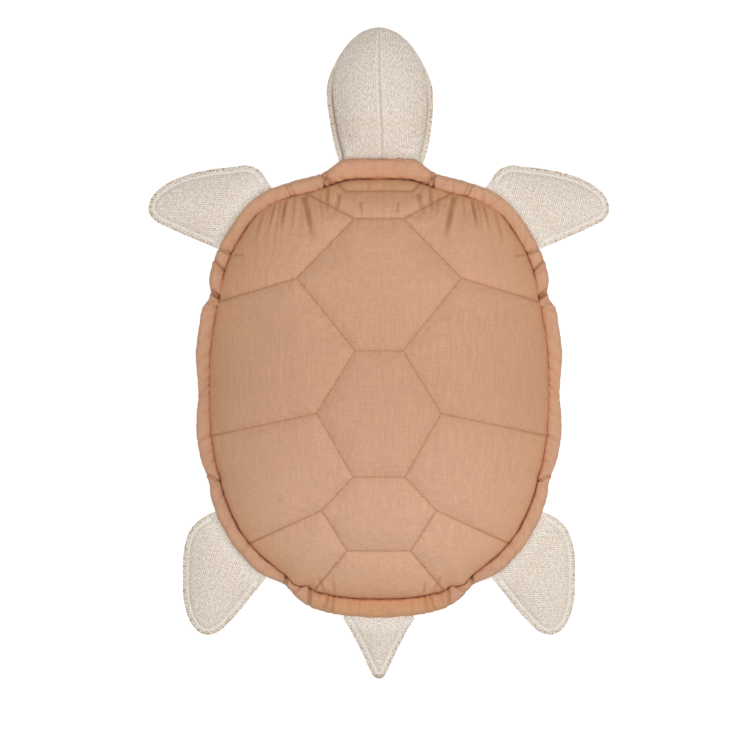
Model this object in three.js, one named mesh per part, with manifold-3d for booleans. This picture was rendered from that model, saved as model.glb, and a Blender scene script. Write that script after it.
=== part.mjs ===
// A floor cushion in the form of a turtle: a quilted shell over a stuffed body, a padded
// rim round it, and a stuffed head, four flippers and a tail sewn into the rim's seam.
// Millimetres. +Z is up, +Y points to the head, and the origin is the middle of the
// shell's footprint on the floor that the cushion lies on.
import * as THREE from "three";
import { mergeVertices } from "three/addons/utils/BufferGeometryUtils.js";
import Module from "manifold-3d";

const wasm = await Module();
wasm.setup();

// Shell sizes.
const SHELL_WIDTH = 395;
const SHELL_LENGTH = 481;
const CROWN_HEIGHT = 122;
const SEAM_HEIGHT = 18;
const CLOTH = 1.2;
const CLEARANCE = 0.3;

// Quilted top: cloth, wadding and backing sewn through along the scute lines.
const QUILT_THICKNESS = 9;
const QUILT_EDGE_WIDTH = 5;
const QUILT_EDGE_THICKNESS = 3;
const CHANNEL_DEPTH = 5;
const CHANNEL_REACH = 8;
const CHANNEL_FADE = 3;
const QUILT_STEP = 18;
const PUFF_RINGS = [
  { away: 11, most: 0.45 },
  { away: 36, most: 0.7 },
];
const DOME_FLATNESS = 2.3;
const DOME_FULLNESS = 0.58;

// Padded rim and the wider band that it makes over the neck.
const RIM_WIDTH = 15;
const GROOVE_GAP = 0.8;
const RIM_HEIGHT = 16;
const RIM_STEP = 3.8;
const BAND_REACH = 12.5;
const BAND_FULL_BEARING = 7;
const BAND_FADE_BEARING = 16.5;
const BAND_END_BEARING = 14.7;
const BAND_EXTRA_HEIGHT = 4;
const BAND_GROOVE_SHIFT = 5;
const REAR_GROOVE_SHIFT = 4.5;
const REAR_FADE_BEARING = 158;
const REAR_FULL_BEARING = 166;
const BELLY_EDGE_INSET = 2.5;

// Belly: the share of the radius that lies flat on the floor.
const BELLY_FLAT_SHARE = 0.72;
const BELLY_STEP = 6;
const FILLING_SIDE_GAP = 1.2;
const FILLING_TOP_GAP = 0.8;

// Limbs. A limb turns about the top edge of its root, where its two cloths meet the tab
// that is sewn into the rim's seam.
const HINGE_STANDOFF = 2;
const TAB_DEPTH = 10;
const LIMB_ROOT = 2 * CLOTH + CLEARANCE;
const FLOOR_GAP = 0.8;
const ROOT_HEM = 2.5;
const FILLING_HEM = 0.9;
const FILLING_EASE = 0.5;
const ROOT_STEPS = 4;
const FACING_BEARING_STEP = 6;

const FLIPPER_LENGTH = 87;
const FLIPPER_ROOT_WIDTH = 88;
const FLIPPER_HEM = 7;
const FLIPPER_TOP_SWELL = 11;
const FLIPPER_UNDER_SWELL = 8.5;
const FRONT_FLIPPER_BEARING = 38;
const REAR_FLIPPER_BEARING = 137;

const HEAD_LENGTH = 139;
const HEAD_ROOT_WIDTH = 95;
const HEAD_HEM = 5;
const HEAD_TOP_SWELL = 47;
const HEAD_UNDER_SWELL = 18;
const HEAD_SEAM_GAP = 0.6;

const TAIL_LENGTH = 68.5;
const TAIL_ROOT_WIDTH = 76;
const TAIL_HEM = 6;
const TAIL_TOP_SWELL = 7;
const TAIL_UNDER_SWELL = 5;

// The smooth outline of the shell's right half, from the front middle to the rear middle,
// as shares of half the shell's width and half its length.
const SHELL_OUTLINE = [
  [0, 1], [0.228, 0.99], [0.446, 0.951], [0.603, 0.906], [0.715, 0.842], [0.811, 0.738],
  [0.887, 0.622], [0.93, 0.509], [0.961, 0.376], [0.993, 0.218], [1, 0.048], [0.996, -0.139],
  [0.968, -0.306], [0.928, -0.439], [0.88, -0.551], [0.811, -0.659], [0.715, -0.755],
  [0.588, -0.843], [0.485, -0.896], [0.39, -0.951], [0.26, -0.986], [0.13, -0.999], [0, -1.002],
];

// Places, as bearings in degrees from the head, where the rim is tucked in, how far, and
// how many degrees each way the tuck reaches.
const RIM_TUCKS = [
  { bearing: 60, depth: 6, reach: 3.2 },
  { bearing: 90, depth: 3, reach: 8 },
  { bearing: 117, depth: 2.6, reach: 4 },
  { bearing: 155, depth: 4, reach: 4 },
];
const TUCK_SINK = 0.5;
const RIM_FOOT = 0.8;
const RIM_SHOULDER = 0.2;
const RIM_FULLNESS = 0.75;
const RIM_ARC_STEPS = 7;

// Free outlines of the limbs, from one end of the root to the other: across as a share of
// the root's width, outwards as a share of the limb's length. A flipper's first point is
// the one nearer the head.
const FRONT_FLIPPER_OUTLINE = [
  [0.48, 0], [0.57, 0.15], [0.56, 0.3], [0.41, 0.465], [0.22, 0.62], [-0.06, 0.815],
  [-0.32, 0.935], [-0.51, 0.96], [-0.66, 0.9], [-0.715, 0.775], [-0.665, 0.52],
  [-0.57, 0.18], [-0.515, 0],
];
const REAR_FLIPPER_OUTLINE = [
  [0.49, 0], [0.525, 0.14], [0.5, 0.3], [0.375, 0.5], [0.07, 0.765], [-0.18, 0.925],
  [-0.44, 1.005], [-0.61, 0.965], [-0.69, 0.82], [-0.655, 0.48], [-0.585, 0.2], [-0.53, 0],
];
const HEAD_OUTLINE = [
  [0.5, 0], [0.545, 0.12], [0.58, 0.27], [0.603, 0.43], [0.595, 0.55], [0.535, 0.67],
  [0.44, 0.79], [0.335, 0.885], [0.19, 0.965], [0, 1], [-0.19, 0.965], [-0.335, 0.885],
  [-0.44, 0.79], [-0.535, 0.67], [-0.595, 0.55], [-0.603, 0.43], [-0.58, 0.27],
  [-0.545, 0.12], [-0.5, 0],
];
const TAIL_OUTLINE = [
  [0.5, 0], [0.37, 0.26], [0.24, 0.56], [0.135, 0.83], [0.075, 0.96], [0, 1],
  [-0.075, 0.96], [-0.135, 0.83], [-0.24, 0.56], [-0.37, 0.26], [-0.5, 0],
];

// Quilting corners on the right half, as shares of half the shell's width and length, and
// the bearings at which quilting lines run into the groove inside the rim.
const CORNERS = {
  collar: [0.182, 0.899],
  neck: [0.133, 0.775],
  shoulder: [0.444, 0.509],
  chest: [0.128, 0.188],
  waist: [0.335, -0.089],
  back: [0.139, -0.37],
  hip: [0.309, -0.518],
  rump: [0.172, -0.699],
};
const GROOVE_ENDS = { collarEnd: 11.2, front: 20.4, side: 60.6, middle: 104.3, low: 139.2, rear: 161.7 };

// The scutes: their corners in order, L and R for the left and right side, and the ridge
// that each one puffs up to, as two points in shares. A pair of groove ends that follow
// each other is joined along the groove.
const MIDDLE_SCUTES = [
  { corners: ["collarEndR", "collarEndL", "collarL", "collarR"], ridge: [[-0.17, 0.92], [0.17, 0.92]] },
  {
    corners: ["frontR", "collarEndR", "collarR", "collarL", "collarEndL", "frontL", "neckL", "neckR"],
    ridge: [[-0.25, 0.84], [0.25, 0.84]],
  },
  { corners: ["neckR", "neckL", "shoulderL", "chestL", "chestR", "shoulderR"], ridge: [[0, 0.5], [0, 0.5]] },
  { corners: ["chestR", "chestL", "waistL", "backL", "backR", "waistR"], ridge: [[0, -0.09], [0, -0.09]] },
  { corners: ["backR", "backL", "hipL", "rumpL", "rumpR", "hipR"], ridge: [[0, -0.53], [0, -0.53]] },
  { corners: ["rumpR", "rumpL", "rearL", "rearR"], ridge: [[-0.15, -0.83], [0.15, -0.83]] },
];
const SIDE_SCUTES = [
  { corners: ["sideR", "frontR", "neckR", "shoulderR"], ridge: [[0.56, 0.66], [0.56, 0.66]] },
  { corners: ["middleR", "sideR", "shoulderR", "chestR", "waistR"], ridge: [[0.6, 0.18], [0.6, 0.18]] },
  { corners: ["lowR", "middleR", "waistR", "backR", "hipR"], ridge: [[0.56, -0.35], [0.56, -0.35]] },
  { corners: ["rearR", "lowR", "hipR", "rumpR"], ridge: [[0.42, -0.68], [0.42, -0.68]] },
];

// Steps from the hem of a swollen piece to its ridge, as shares of the way: many on the
// deep head, few on the flat limbs.
const DEEP_STEPS = [0.07, 0.22, 0.45, 0.72];
const FLAT_STEPS = [0.15, 0.45, 0.8];
const DOME_STEPS = [0.94, 0.8, 0.5, 0.2];

// Heights that pieces share.
const BELLY_EDGE_TOP = SEAM_HEIGHT + CLOTH;
const SEAT = BELLY_EDGE_TOP + CLEARANCE;
const HINGE_HEIGHT = SEAT + LIMB_ROOT;
const QUILT_EDGE_TOP = SEAT + QUILT_EDGE_THICKNESS;

const clothColour = 0xc08e6c;
const rimColour = 0xc48f6c;
const naturalColour = 0xd9d0c3;
const clothFinish = (color) => new THREE.MeshStandardMaterial({ color, roughness: 0.92, metalness: 0 });
const stuffingFinish = () => new THREE.MeshStandardMaterial({ color: 0xf3f0ea, roughness: 1, metalness: 0 });

const radians = THREE.MathUtils.degToRad;
const degrees = THREE.MathUtils.radToDeg;

// A solid given as rings of points with equal counts, each ring anticlockwise about the
// way that the rings advance, so that the faces point out. Both ends are closed by fans.
class Skin {
  constructor() {
    this.corners = [];
  }

  triangle(a, b, c) {
    this.corners.push(a, b, c);
  }

  // Four-sided faces between two rings, each cut along its shorter diagonal.
  strip(from, to) {
    from.forEach((a, i) => {
      const j = (i + 1) % from.length;
      const [b, c, d] = [from[j], to[j], to[i]];
      if (a.distanceTo(c) <= b.distanceTo(d)) {
        this.triangle(a, b, c);
        this.triangle(a, c, d);
      } else {
        this.triangle(a, b, d);
        this.triangle(b, c, d);
      }
    });
  }

  fan(ring, apex) {
    ring.forEach((a, i) => this.triangle(a, ring[(i + 1) % ring.length], apex));
  }

  geometry() {
    const open = new THREE.BufferGeometry().setFromPoints(this.corners);
    return mergeVertices(open, 1e-4);
  }
}

function middleOf(ring) {
  return ring.reduce((sum, p) => sum.add(p), new THREE.Vector3()).divideScalar(ring.length);
}

function ringSolid(rings, firstApex = middleOf(rings[0]), lastApex = middleOf(rings.at(-1))) {
  const skin = new Skin();
  skin.fan([...rings[0]].reverse(), firstApex);
  rings.slice(1).forEach((ring, i) => skin.strip(rings[i], ring));
  skin.fan(rings.at(-1), lastApex);
  return skin.geometry();
}

// Booleans, on copies of the geometry that keep only its position.
function solidOf(geometry) {
  const bare = geometry.clone();
  bare.deleteAttribute("normal");
  bare.deleteAttribute("uv");
  const merged = mergeVertices(bare, 1e-4);
  const vertProperties = new Float32Array(merged.attributes.position.array);
  const triVerts = new Uint32Array(merged.index.array);
  return new wasm.Manifold(new wasm.Mesh({ numProp: 3, vertProperties, triVerts }));
}

function geometryOf(solid) {
  const mesh = solid.getMesh();
  const geometry = new THREE.BufferGeometry();
  geometry.setAttribute("position", new THREE.BufferAttribute(mesh.vertProperties, 3));
  geometry.setIndex(new THREE.BufferAttribute(mesh.triVerts, 1));
  return geometry;
}

// Bearings are clockwise degrees from +Y. This is the turn from the head, the same on the left and the right.
const sideOf = (bearing) => Math.abs(THREE.MathUtils.euclideanModulo(bearing + 180, 360) - 180);

// The shell's outline, as a radius for each bearing.
function radiusTable(points) {
  const table = points.map((p) => ({ bearing: degrees(Math.atan2(p.x, p.y)), radius: p.length() }));
  table.sort((a, b) => a.bearing - b.bearing);
  return table;
}

function lookUp(table, bearing) {
  const side = sideOf(bearing);
  const next = table.findIndex((row) => row.bearing >= side);
  if (next <= 0) return table.at(next).radius;
  const [a, b] = [table[next - 1], table[next]];
  const share = (side - a.bearing) / (b.bearing - a.bearing);
  return THREE.MathUtils.lerp(a.radius, b.radius, share);
}

const OUTLINE_SAMPLES = 720;
const rightHalf = SHELL_OUTLINE.map(
  ([x, y]) => new THREE.Vector3((x * SHELL_WIDTH) / 2, (y * SHELL_LENGTH) / 2, 0),
);
const leftHalf = rightHalf.slice(1, -1).reverse().map((p) => new THREE.Vector3(-p.x, p.y, 0));
const outlineCurve = new THREE.CatmullRomCurve3([...rightHalf, ...leftHalf], true, "centripetal");
const outlinePoints = outlineCurve.getPoints(OUTLINE_SAMPLES).filter((p) => p.x >= 0);
const groovePoints = Array.from({ length: OUTLINE_SAMPLES }, (_, i) => {
  const t = i / OUTLINE_SAMPLES;
  const along = outlineCurve.getTangent(t);
  return outlineCurve.getPoint(t).add(new THREE.Vector3(-along.y, along.x, 0).multiplyScalar(-RIM_WIDTH));
}).filter((p) => p.x >= -1);
const outlineTable = radiusTable(outlinePoints);
const grooveTable = radiusTable(groovePoints.map((p) => new THREE.Vector3(Math.max(p.x, 0), p.y, 0)));

const smoothRadius = (bearing) => lookUp(outlineTable, bearing);

// How far the neck band stands out past the smooth outline, as a share.
function bandShare(bearing) {
  return 1 - THREE.MathUtils.smoothstep(sideOf(bearing), BAND_FULL_BEARING, BAND_FADE_BEARING);
}

// The groove inside the rim lies further out at the neck band and further in at the rear.
function grooveRadius(bearing) {
  const rearShare = THREE.MathUtils.smoothstep(sideOf(bearing), REAR_FADE_BEARING, REAR_FULL_BEARING);
  const shift = BAND_GROOVE_SHIFT * bandShare(bearing) - REAR_GROOVE_SHIFT * rearShare;
  return lookUp(grooveTable, bearing) + shift;
}

// How far the rim is tucked in at a bearing, from 0 to the depth of the tuck.
function tuckAt(bearing) {
  const side = sideOf(bearing);
  return RIM_TUCKS.reduce((sum, tuck) => {
    const away = (side - tuck.bearing) / tuck.reach;
    return sum + tuck.depth * Math.exp(-away * away);
  }, 0);
}

const rimRadius = (bearing) => smoothRadius(bearing) - tuckAt(bearing) + BAND_REACH * bandShare(bearing);

function onBearing(bearing, radius, height) {
  const angle = radians(bearing);
  return new THREE.Vector3(radius * Math.sin(angle), radius * Math.cos(angle), height);
}

// A ring round the shell, anticlockwise seen from above.
function shellRing(step, radiusAt, heightAt) {
  const count = Math.round(360 / step);
  return Array.from({ length: count }, (_, i) => {
    const bearing = 180 - i * step;
    return onBearing(bearing, radiusAt(bearing), heightAt(bearing));
  });
}

// Height of the dome at a share of the way out to its edge.
function domeRise(share) {
  return Math.pow(Math.max(0, 1 - Math.pow(Math.min(share, 1), DOME_FLATNESS)), DOME_FULLNESS);
}

const domeHeight = (share, top, edge) => edge + (top - edge) * domeRise(share);

const innerTop = CROWN_HEIGHT - QUILT_THICKNESS;
const innerRadius = (bearing) => grooveRadius(bearing) - QUILT_EDGE_WIDTH;

// Quilting lines.
function cornerPoint(name) {
  const side = name.endsWith("L") ? -1 : 1;
  const key = name.slice(0, -1);
  if (key in GROOVE_ENDS) return onBearing(side * GROOVE_ENDS[key], grooveRadius(GROOVE_ENDS[key]), 0);
  const [x, y] = CORNERS[key];
  return new THREE.Vector3((side * x * SHELL_WIDTH) / 2, (y * SHELL_LENGTH) / 2, 0);
}

const isGrooveEnd = (name) => name.slice(0, -1) in GROOVE_ENDS;
const grooveBearing = (name) => GROOVE_ENDS[name.slice(0, -1)] * (name.endsWith("L") ? -1 : 1);

// The point a share of the way along the groove between two groove ends.
function grooveStretch(from, to, share) {
  const start = grooveBearing(from);
  const turn = THREE.MathUtils.euclideanModulo(grooveBearing(to) - start + 180, 360) - 180;
  const bearing = start + turn * share;
  return onBearing(bearing, grooveRadius(bearing), 0);
}

// Points of a scute's side from one corner to the next, without the last corner. They are
// worked out the same way round for both scutes that share the side.
function sidePoints(from, to) {
  const [first, last] = [from, to].sort();
  const [a, b] = [cornerPoint(first), cornerPoint(last)];
  const along = isGrooveEnd(from) && isGrooveEnd(to);
  const count = Math.max(2, Math.round(a.distanceTo(b) / QUILT_STEP));
  const points = Array.from({ length: count + 1 }, (_, i) =>
    along ? grooveStretch(first, last, i / count) : a.clone().lerp(b, i / count),
  );
  if (from !== first) points.reverse();
  return points.slice(0, -1);
}

function scuteOutline({ corners }) {
  return corners.flatMap((name, i) => sidePoints(name, corners[(i + 1) % corners.length]));
}

const mirrorName = (name) => name.slice(0, -1) + (name.endsWith("L") ? "R" : "L");
const mirrored = ({ corners, ridge }) => ({
  corners: corners.map(mirrorName).reverse(),
  ridge: ridge.map(([x, y]) => [-x, y]),
});
const scutes = [...MIDDLE_SCUTES, ...SIDE_SCUTES, ...SIDE_SCUTES.map(mirrored)];

// Every quilting line as a pair of plan points, the groove left out.
const quiltLines = new Map();
scutes.forEach(({ corners }) =>
  corners.forEach((name, i) => {
    const next = corners[(i + 1) % corners.length];
    if (!(isGrooveEnd(name) && isGrooveEnd(next))) {
      quiltLines.set([name, next].sort().join(), new THREE.Line3(cornerPoint(name), cornerPoint(next)));
    }
  }),
);

function distanceToQuilting(point) {
  const flat = new THREE.Vector3(point.x, point.y, 0);
  const nearest = new THREE.Vector3();
  return Math.min(
    ...[...quiltLines.values()].map((line) => line.closestPointToPoint(flat, true, nearest).distanceTo(flat)),
  );
}

// A point of the quilted surface above a plan point: the dome, drawn down at the quilting.
function quiltPoint(point) {
  const bearing = degrees(Math.atan2(point.x, point.y));
  const share = Math.hypot(point.x, point.y) / grooveRadius(bearing);
  const dome = domeHeight(share, CROWN_HEIGHT, QUILT_EDGE_TOP);
  const away = distanceToQuilting(point) / CHANNEL_REACH;
  const channel = CHANNEL_DEPTH * Math.exp(-away * away) * Math.min(1, CHANNEL_FADE * domeRise(share));
  return new THREE.Vector3(point.x, point.y, dome - channel);
}

// The nearest point of a ridge, which may be a single point.
function ridgePoint(point, [a, b]) {
  if (a.distanceTo(b) < 1e-6) return a.clone();
  return new THREE.Line3(a, b).closestPointToPoint(point, true, new THREE.Vector3());
}

function towards(point, ridge, distance, most) {
  const target = ridgePoint(point, ridge);
  const whole = point.distanceTo(target);
  return point.clone().lerp(target, Math.min(most, distance / whole));
}

function quiltedTop() {
  const skin = new Skin();
  const edge = [];
  scutes.forEach((scute) => {
    const outline = scuteOutline(scute);
    const ridge = scute.ridge.map(
      ([x, y]) => new THREE.Vector3((x * SHELL_WIDTH) / 2, (y * SHELL_LENGTH) / 2, 0),
    );
    const puffed = PUFF_RINGS.map(({ away, most }) => outline.map((p) => towards(p, ridge, away, most)));
    const rings = [outline, ...puffed].map((ring) => ring.map(quiltPoint));
    skin.strip(rings[0], rings[1]);
    skin.strip(rings[1], rings[2]);
    skin.fan(rings[2], quiltPoint(middleOf(rings[2])));
    scute.corners.forEach((name, i) => {
      const next = scute.corners[(i + 1) % scute.corners.length];
      if (isGrooveEnd(name) && isGrooveEnd(next)) edge.push(...sidePoints(name, next));
    });
  });
  const topEdge = edge.map(quiltPoint);
  topEdge.sort((p, q) => Math.atan2(p.y, p.x) - Math.atan2(q.y, q.x));
  const bearingOf = (p) => degrees(Math.atan2(p.x, p.y));
  const innerRing = (share, height) =>
    topEdge.map((p) => onBearing(bearingOf(p), innerRadius(bearingOf(p)) * share, height));
  const inner = DOME_STEPS.map((share) => innerRing(share, domeHeight(share, innerTop, SEAT))).reverse();
  const bottomEdge = topEdge.map((p) => new THREE.Vector3(p.x, p.y, SEAT));
  const under = [...inner, innerRing(1, SEAT), bottomEdge, topEdge];
  skin.fan([...under[0]].reverse(), new THREE.Vector3(0, 0, innerTop));
  under.slice(1).forEach((ring, i) => skin.strip(under[i], ring));
  return skin.geometry();
}

// Belly: flat on the floor, then up to a level edge that the rim and the limbs' tabs sit on.
const BELLY_STEPS = [BELLY_FLAT_SHARE, 0.8, 0.9, 1];
const bellyHeight = (share) => {
  const climb = Math.max(0, share - BELLY_FLAT_SHARE) / (1 - BELLY_FLAT_SHARE);
  return SEAM_HEIGHT * climb * climb;
};

function bellyRings(rise) {
  const slope = BELLY_STEPS.map((share) =>
    shellRing(BELLY_STEP, (b) => grooveRadius(b) * share, () => bellyHeight(share) + rise),
  );
  const edge = shellRing(BELLY_STEP, (b) => rimRadius(b) - BELLY_EDGE_INSET, () => SEAM_HEIGHT + rise);
  return [...slope, edge];
}

function bellyPanel() {
  const outside = bellyRings(0);
  const inside = bellyRings(CLOTH).reverse();
  return ringSolid([...outside, ...inside]);
}

function bodyFilling() {
  const fillingRadius = (bearing) => innerRadius(bearing) - FILLING_SIDE_GAP;
  const lower = BELLY_STEPS.slice(0, -1).map((share) =>
    shellRing(BELLY_STEP, (b) => grooveRadius(b) * share, () => bellyHeight(share) + CLOTH + CLEARANCE),
  );
  const upper = [1, ...DOME_STEPS].map((share) =>
    shellRing(
      BELLY_STEP,
      (b) => fillingRadius(b) * share,
      () => domeHeight(share, innerTop - FILLING_TOP_GAP, SEAT),
    ),
  );
  return ringSolid(
    [...lower, ...upper],
    new THREE.Vector3(0, 0, CLOTH + CLEARANCE),
    new THREE.Vector3(0, 0, innerTop - FILLING_TOP_GAP),
  );
}

// One cross section of the rim: flat below, where it is sewn down, and round above.
function rimSection(bearing) {
  const inside = grooveRadius(bearing) + GROOVE_GAP;
  const outside = rimRadius(bearing);
  const middle = (inside + outside) / 2;
  const half = (outside - inside) / 2;
  const rise = RIM_HEIGHT + BAND_EXTRA_HEIGHT * bandShare(bearing) - TUCK_SINK * tuckAt(bearing);
  const arc = Array.from({ length: RIM_ARC_STEPS + 1 }, (_, i) => {
    const angle = (Math.PI * i) / RIM_ARC_STEPS;
    const across = Math.sign(Math.cos(angle)) * Math.pow(Math.abs(Math.cos(angle)), RIM_FULLNESS);
    const height = rise * THREE.MathUtils.lerp(RIM_SHOULDER, 1, Math.sin(angle));
    return onBearing(bearing, middle + half * across, SEAT + height);
  });
  const foot = [-RIM_FOOT, RIM_FOOT].map((share) => onBearing(bearing, middle + share * half, SEAT));
  return [...arc, ...foot];
}

// A length of rim between two bearings, less the room that the limbs' tabs need in it.
function rimLength(from, to, pockets) {
  const count = Math.round((to - from) / RIM_STEP);
  const sections = Array.from({ length: count + 1 }, (_, i) => rimSection(from + ((to - from) * i) / count));
  const whole = solidOf(ringSolid(sections));
  return geometryOf(pockets.reduce((solid, pocket) => solid.subtract(pocket), whole));
}

// Limbs, each in its own frame: across is X, outwards is Y, and the hinge is the X axis.
function limbOutline(outline, rootWidth, length, side, samples) {
  const corners = outline.map(([x, y]) => new THREE.Vector3(side * x * rootWidth, y * length, 0));
  const free = new THREE.CatmullRomCurve3(corners, false, "centripetal").getPoints(samples);
  const root = Array.from({ length: ROOT_STEPS - 1 }, (_, i) =>
    corners.at(-1).clone().lerp(corners[0], (i + 1) / ROOT_STEPS),
  );
  const ring = [...free, ...root];
  return side > 0 ? ring : ring.reverse();
}

// The rings of one cloth's face, from its edge to its crown. It swells in a round arch
// from a flat hem at its free sides, and in a slower one from the seam at its root.
function faceRings(limb, edgeInset, swell, hemHeight) {
  const awayFromRoot = limb.ring.map((p) => THREE.MathUtils.smoothstep(p.y, 0, limb.neck));
  const edge = limb.ring.map((p) => towards(p, limb.ridge, edgeInset, 1));
  const hem = limb.ring.map((p, i) =>
    towards(p, limb.ridge, edgeInset + THREE.MathUtils.lerp(ROOT_HEM, limb.hem, awayFromRoot[i]), 1),
  );
  const crown = limb.steps.map((s) =>
    hem.map((p, i) => {
      const arch = Math.sqrt(1 - (1 - s) * (1 - s));
      const slow = Math.sin((Math.PI / 2) * s);
      const q = p.clone().lerp(ridgePoint(p, limb.ridge), s);
      q.z = hemHeight + swell * THREE.MathUtils.lerp(slow, arch, awayFromRoot[i]);
      return q;
    }),
  );
  const level = (ring) => ring.map((p) => new THREE.Vector3(p.x, p.y, hemHeight));
  return [level(edge), level(hem), ...crown];
}

// The two cloths lie on each other along this height of the limb's own frame.
const MIDDLE = -LIMB_ROOT / 2;
const turnOver = (ring) => ring.map((p) => new THREE.Vector3(p.x, p.y, 2 * MIDDLE - p.z));

function limbTop(limb) {
  const inner = faceRings(limb, 0, limb.topSwell, MIDDLE + CLEARANCE / 2);
  const outer = faceRings(limb, 0, limb.topSwell, MIDDLE + CLEARANCE / 2 + CLOTH);
  return ringSolid([...inner.reverse(), ...outer]);
}

function limbUnderside(limb) {
  const inner = faceRings(limb, 0, limb.underSwell, MIDDLE + CLEARANCE / 2).map(turnOver);
  const outer = faceRings(limb, 0, limb.underSwell, MIDDLE + CLEARANCE / 2 + CLOTH).map(turnOver);
  return ringSolid([...outer.reverse(), ...inner]);
}

function limbFilling(limb) {
  const above = faceRings(limb, FILLING_HEM, limb.topSwell - FILLING_EASE, MIDDLE).slice(1);
  const below = faceRings(limb, FILLING_HEM, limb.underSwell - FILLING_EASE, MIDDLE).slice(2).map(turnOver);
  return ringSolid([...below.reverse(), ...above]);
}

// The limb's raw end, flat in the seam between the rim and the belly's edge.
function rootTab(limb, grow) {
  const gap = CLEARANCE + LIMB_ROOT * Math.sin(limb.droop);
  const width = limb.rootEnds[1] - limb.rootEnds[0];
  const depth = HINGE_STANDOFF + TAB_DEPTH - gap;
  const box = new THREE.BoxGeometry(width + 2 * grow, depth + 2 * grow, LIMB_ROOT + 2 * grow);
  return box.translate(limb.rootEnds[0] + width / 2, -gap - depth / 2, -LIMB_ROOT / 2);
}

// The angle at which a limb hangs from its seam, down to where its tip or its swollen
// underside lies on the floor.
function droopToFloor(limb) {
  const room = HINGE_HEIGHT - LIMB_ROOT - FLOOR_GAP;
  const farEnd = Math.max(...limb.ridge.map((p) => p.y));
  return Math.asin(Math.max(0, Math.min(room / limb.length, (room - limb.underSwell) / farEnd)));
}

// The direction in which the outline faces at a bearing, as a turn from +Y to the left.
function facingAt(bearing) {
  const ends = [bearing - FACING_BEARING_STEP, bearing + FACING_BEARING_STEP];
  const [a, b] = ends.map((at) => onBearing(at, smoothRadius(at), 0));
  return Math.atan2(b.y - a.y, b.x - a.x);
}

function placeAt(bearing) {
  const facing = facingAt(bearing);
  const outwards = new THREE.Vector3(-Math.sin(facing), Math.cos(facing), 0);
  const reach = HINGE_STANDOFF + BAND_REACH * bandShare(bearing);
  const position = onBearing(bearing, smoothRadius(bearing), HINGE_HEIGHT).addScaledVector(outwards, reach);
  return { facing, position };
}

function limbAt(bearing, side, outline, rest) {
  const ends = [outline[0], outline.at(-1)].map(([x]) => side * x * rest.rootWidth);
  const ridge = rest.ridge.map(
    ([x, y]) => new THREE.Vector3(side * x * rest.rootWidth, y * rest.length, 0),
  );
  const limb = {
    ...rest,
    ...placeAt(bearing),
    ridge,
    ring: limbOutline(outline, rest.rootWidth, rest.length, side, rest.samples),
    rootEnds: ends.sort((a, b) => a - b),
  };
  return { ...limb, droop: droopToFloor(limb) };
}

// Left is the turtle's own left, at -X. A flipper on the right is a mirrored left one.
function flipper(name, bearing, side, outline) {
  return limbAt(-side * bearing, side, outline, {
    name,
    rootWidth: FLIPPER_ROOT_WIDTH,
    length: FLIPPER_LENGTH,
    ridge: [[-0.04, 0.4], [-0.36, 0.68]],
    neck: 3 * FLIPPER_HEM,
    hem: FLIPPER_HEM,
    topSwell: FLIPPER_TOP_SWELL,
    underSwell: FLIPPER_UNDER_SWELL,
    steps: FLAT_STEPS,
    samples: 18,
  });
}

const head = limbAt(0, 1, HEAD_OUTLINE, {
  name: "head",
  rootWidth: HEAD_ROOT_WIDTH,
  length: HEAD_LENGTH,
  ridge: [[0, 0.34], [0, 0.62]],
  neck: 8 * HEAD_HEM,
  hem: HEAD_HEM,
  topSwell: HEAD_TOP_SWELL,
  underSwell: HEAD_UNDER_SWELL,
  steps: DEEP_STEPS,
  samples: 27,
});

const tail = limbAt(180, 1, TAIL_OUTLINE, {
  name: "tail",
  rootWidth: TAIL_ROOT_WIDTH,
  length: TAIL_LENGTH,
  ridge: [[0, 0.3], [0, 0.72]],
  neck: 2 * TAIL_HEM,
  hem: TAIL_HEM,
  topSwell: TAIL_TOP_SWELL,
  underSwell: TAIL_UNDER_SWELL,
  steps: FLAT_STEPS,
  samples: 17,
});

const flippers = [
  flipper("front_left_flipper", FRONT_FLIPPER_BEARING, 1, FRONT_FLIPPER_OUTLINE),
  flipper("front_right_flipper", FRONT_FLIPPER_BEARING, -1, FRONT_FLIPPER_OUTLINE),
  flipper("rear_left_flipper", REAR_FLIPPER_BEARING, 1, REAR_FLIPPER_OUTLINE),
  flipper("rear_right_flipper", REAR_FLIPPER_BEARING, -1, REAR_FLIPPER_OUTLINE),
];

function named(name, geometry, material) {
  const mesh = new THREE.Mesh(geometry, material);
  mesh.name = name;
  return mesh;
}

// The two halves of the head's crown, cut apart along the middle seam.
function headHalves(limb) {
  const whole = solidOf(limbTop(limb));
  const reach = 2 * HEAD_LENGTH;
  return [-1, 1].map((side) => {
    const keep = new THREE.BoxGeometry(reach, 2 * reach, reach);
    keep.translate((side * (reach + HEAD_SEAM_GAP)) / 2, 0, 0);
    return geometryOf(whole.intersect(solidOf(keep)));
  });
}

function limbGroup(limb) {
  const seat = new THREE.Group();
  seat.position.copy(limb.position);
  seat.rotation.z = limb.facing;
  const swing = new THREE.Group();
  swing.rotation.x = -limb.droop;
  seat.add(named(limb.name + "_tab", rootTab(limb, 0), clothFinish(naturalColour)), swing);
  swing.add(named(limb.name + "_filling", limbFilling(limb), stuffingFinish()));
  swing.add(named(limb.name + "_underside", limbUnderside(limb), clothFinish(naturalColour)));
  if (limb === head) {
    const [left, right] = headHalves(limb);
    swing.add(named("head_crown_left", left, clothFinish(naturalColour)));
    swing.add(named("head_crown_right", right, clothFinish(naturalColour)));
  } else {
    swing.add(named(limb.name + "_top", limbTop(limb), clothFinish(naturalColour)));
  }
  return seat;
}

// The room that a limb's tab needs in the underside of the rim, in the shell's frame.
function pocketFor(limb) {
  const place = new THREE.Matrix4().makeRotationZ(limb.facing).setPosition(limb.position);
  return solidOf(rootTab(limb, CLEARANCE).applyMatrix4(place));
}

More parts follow.
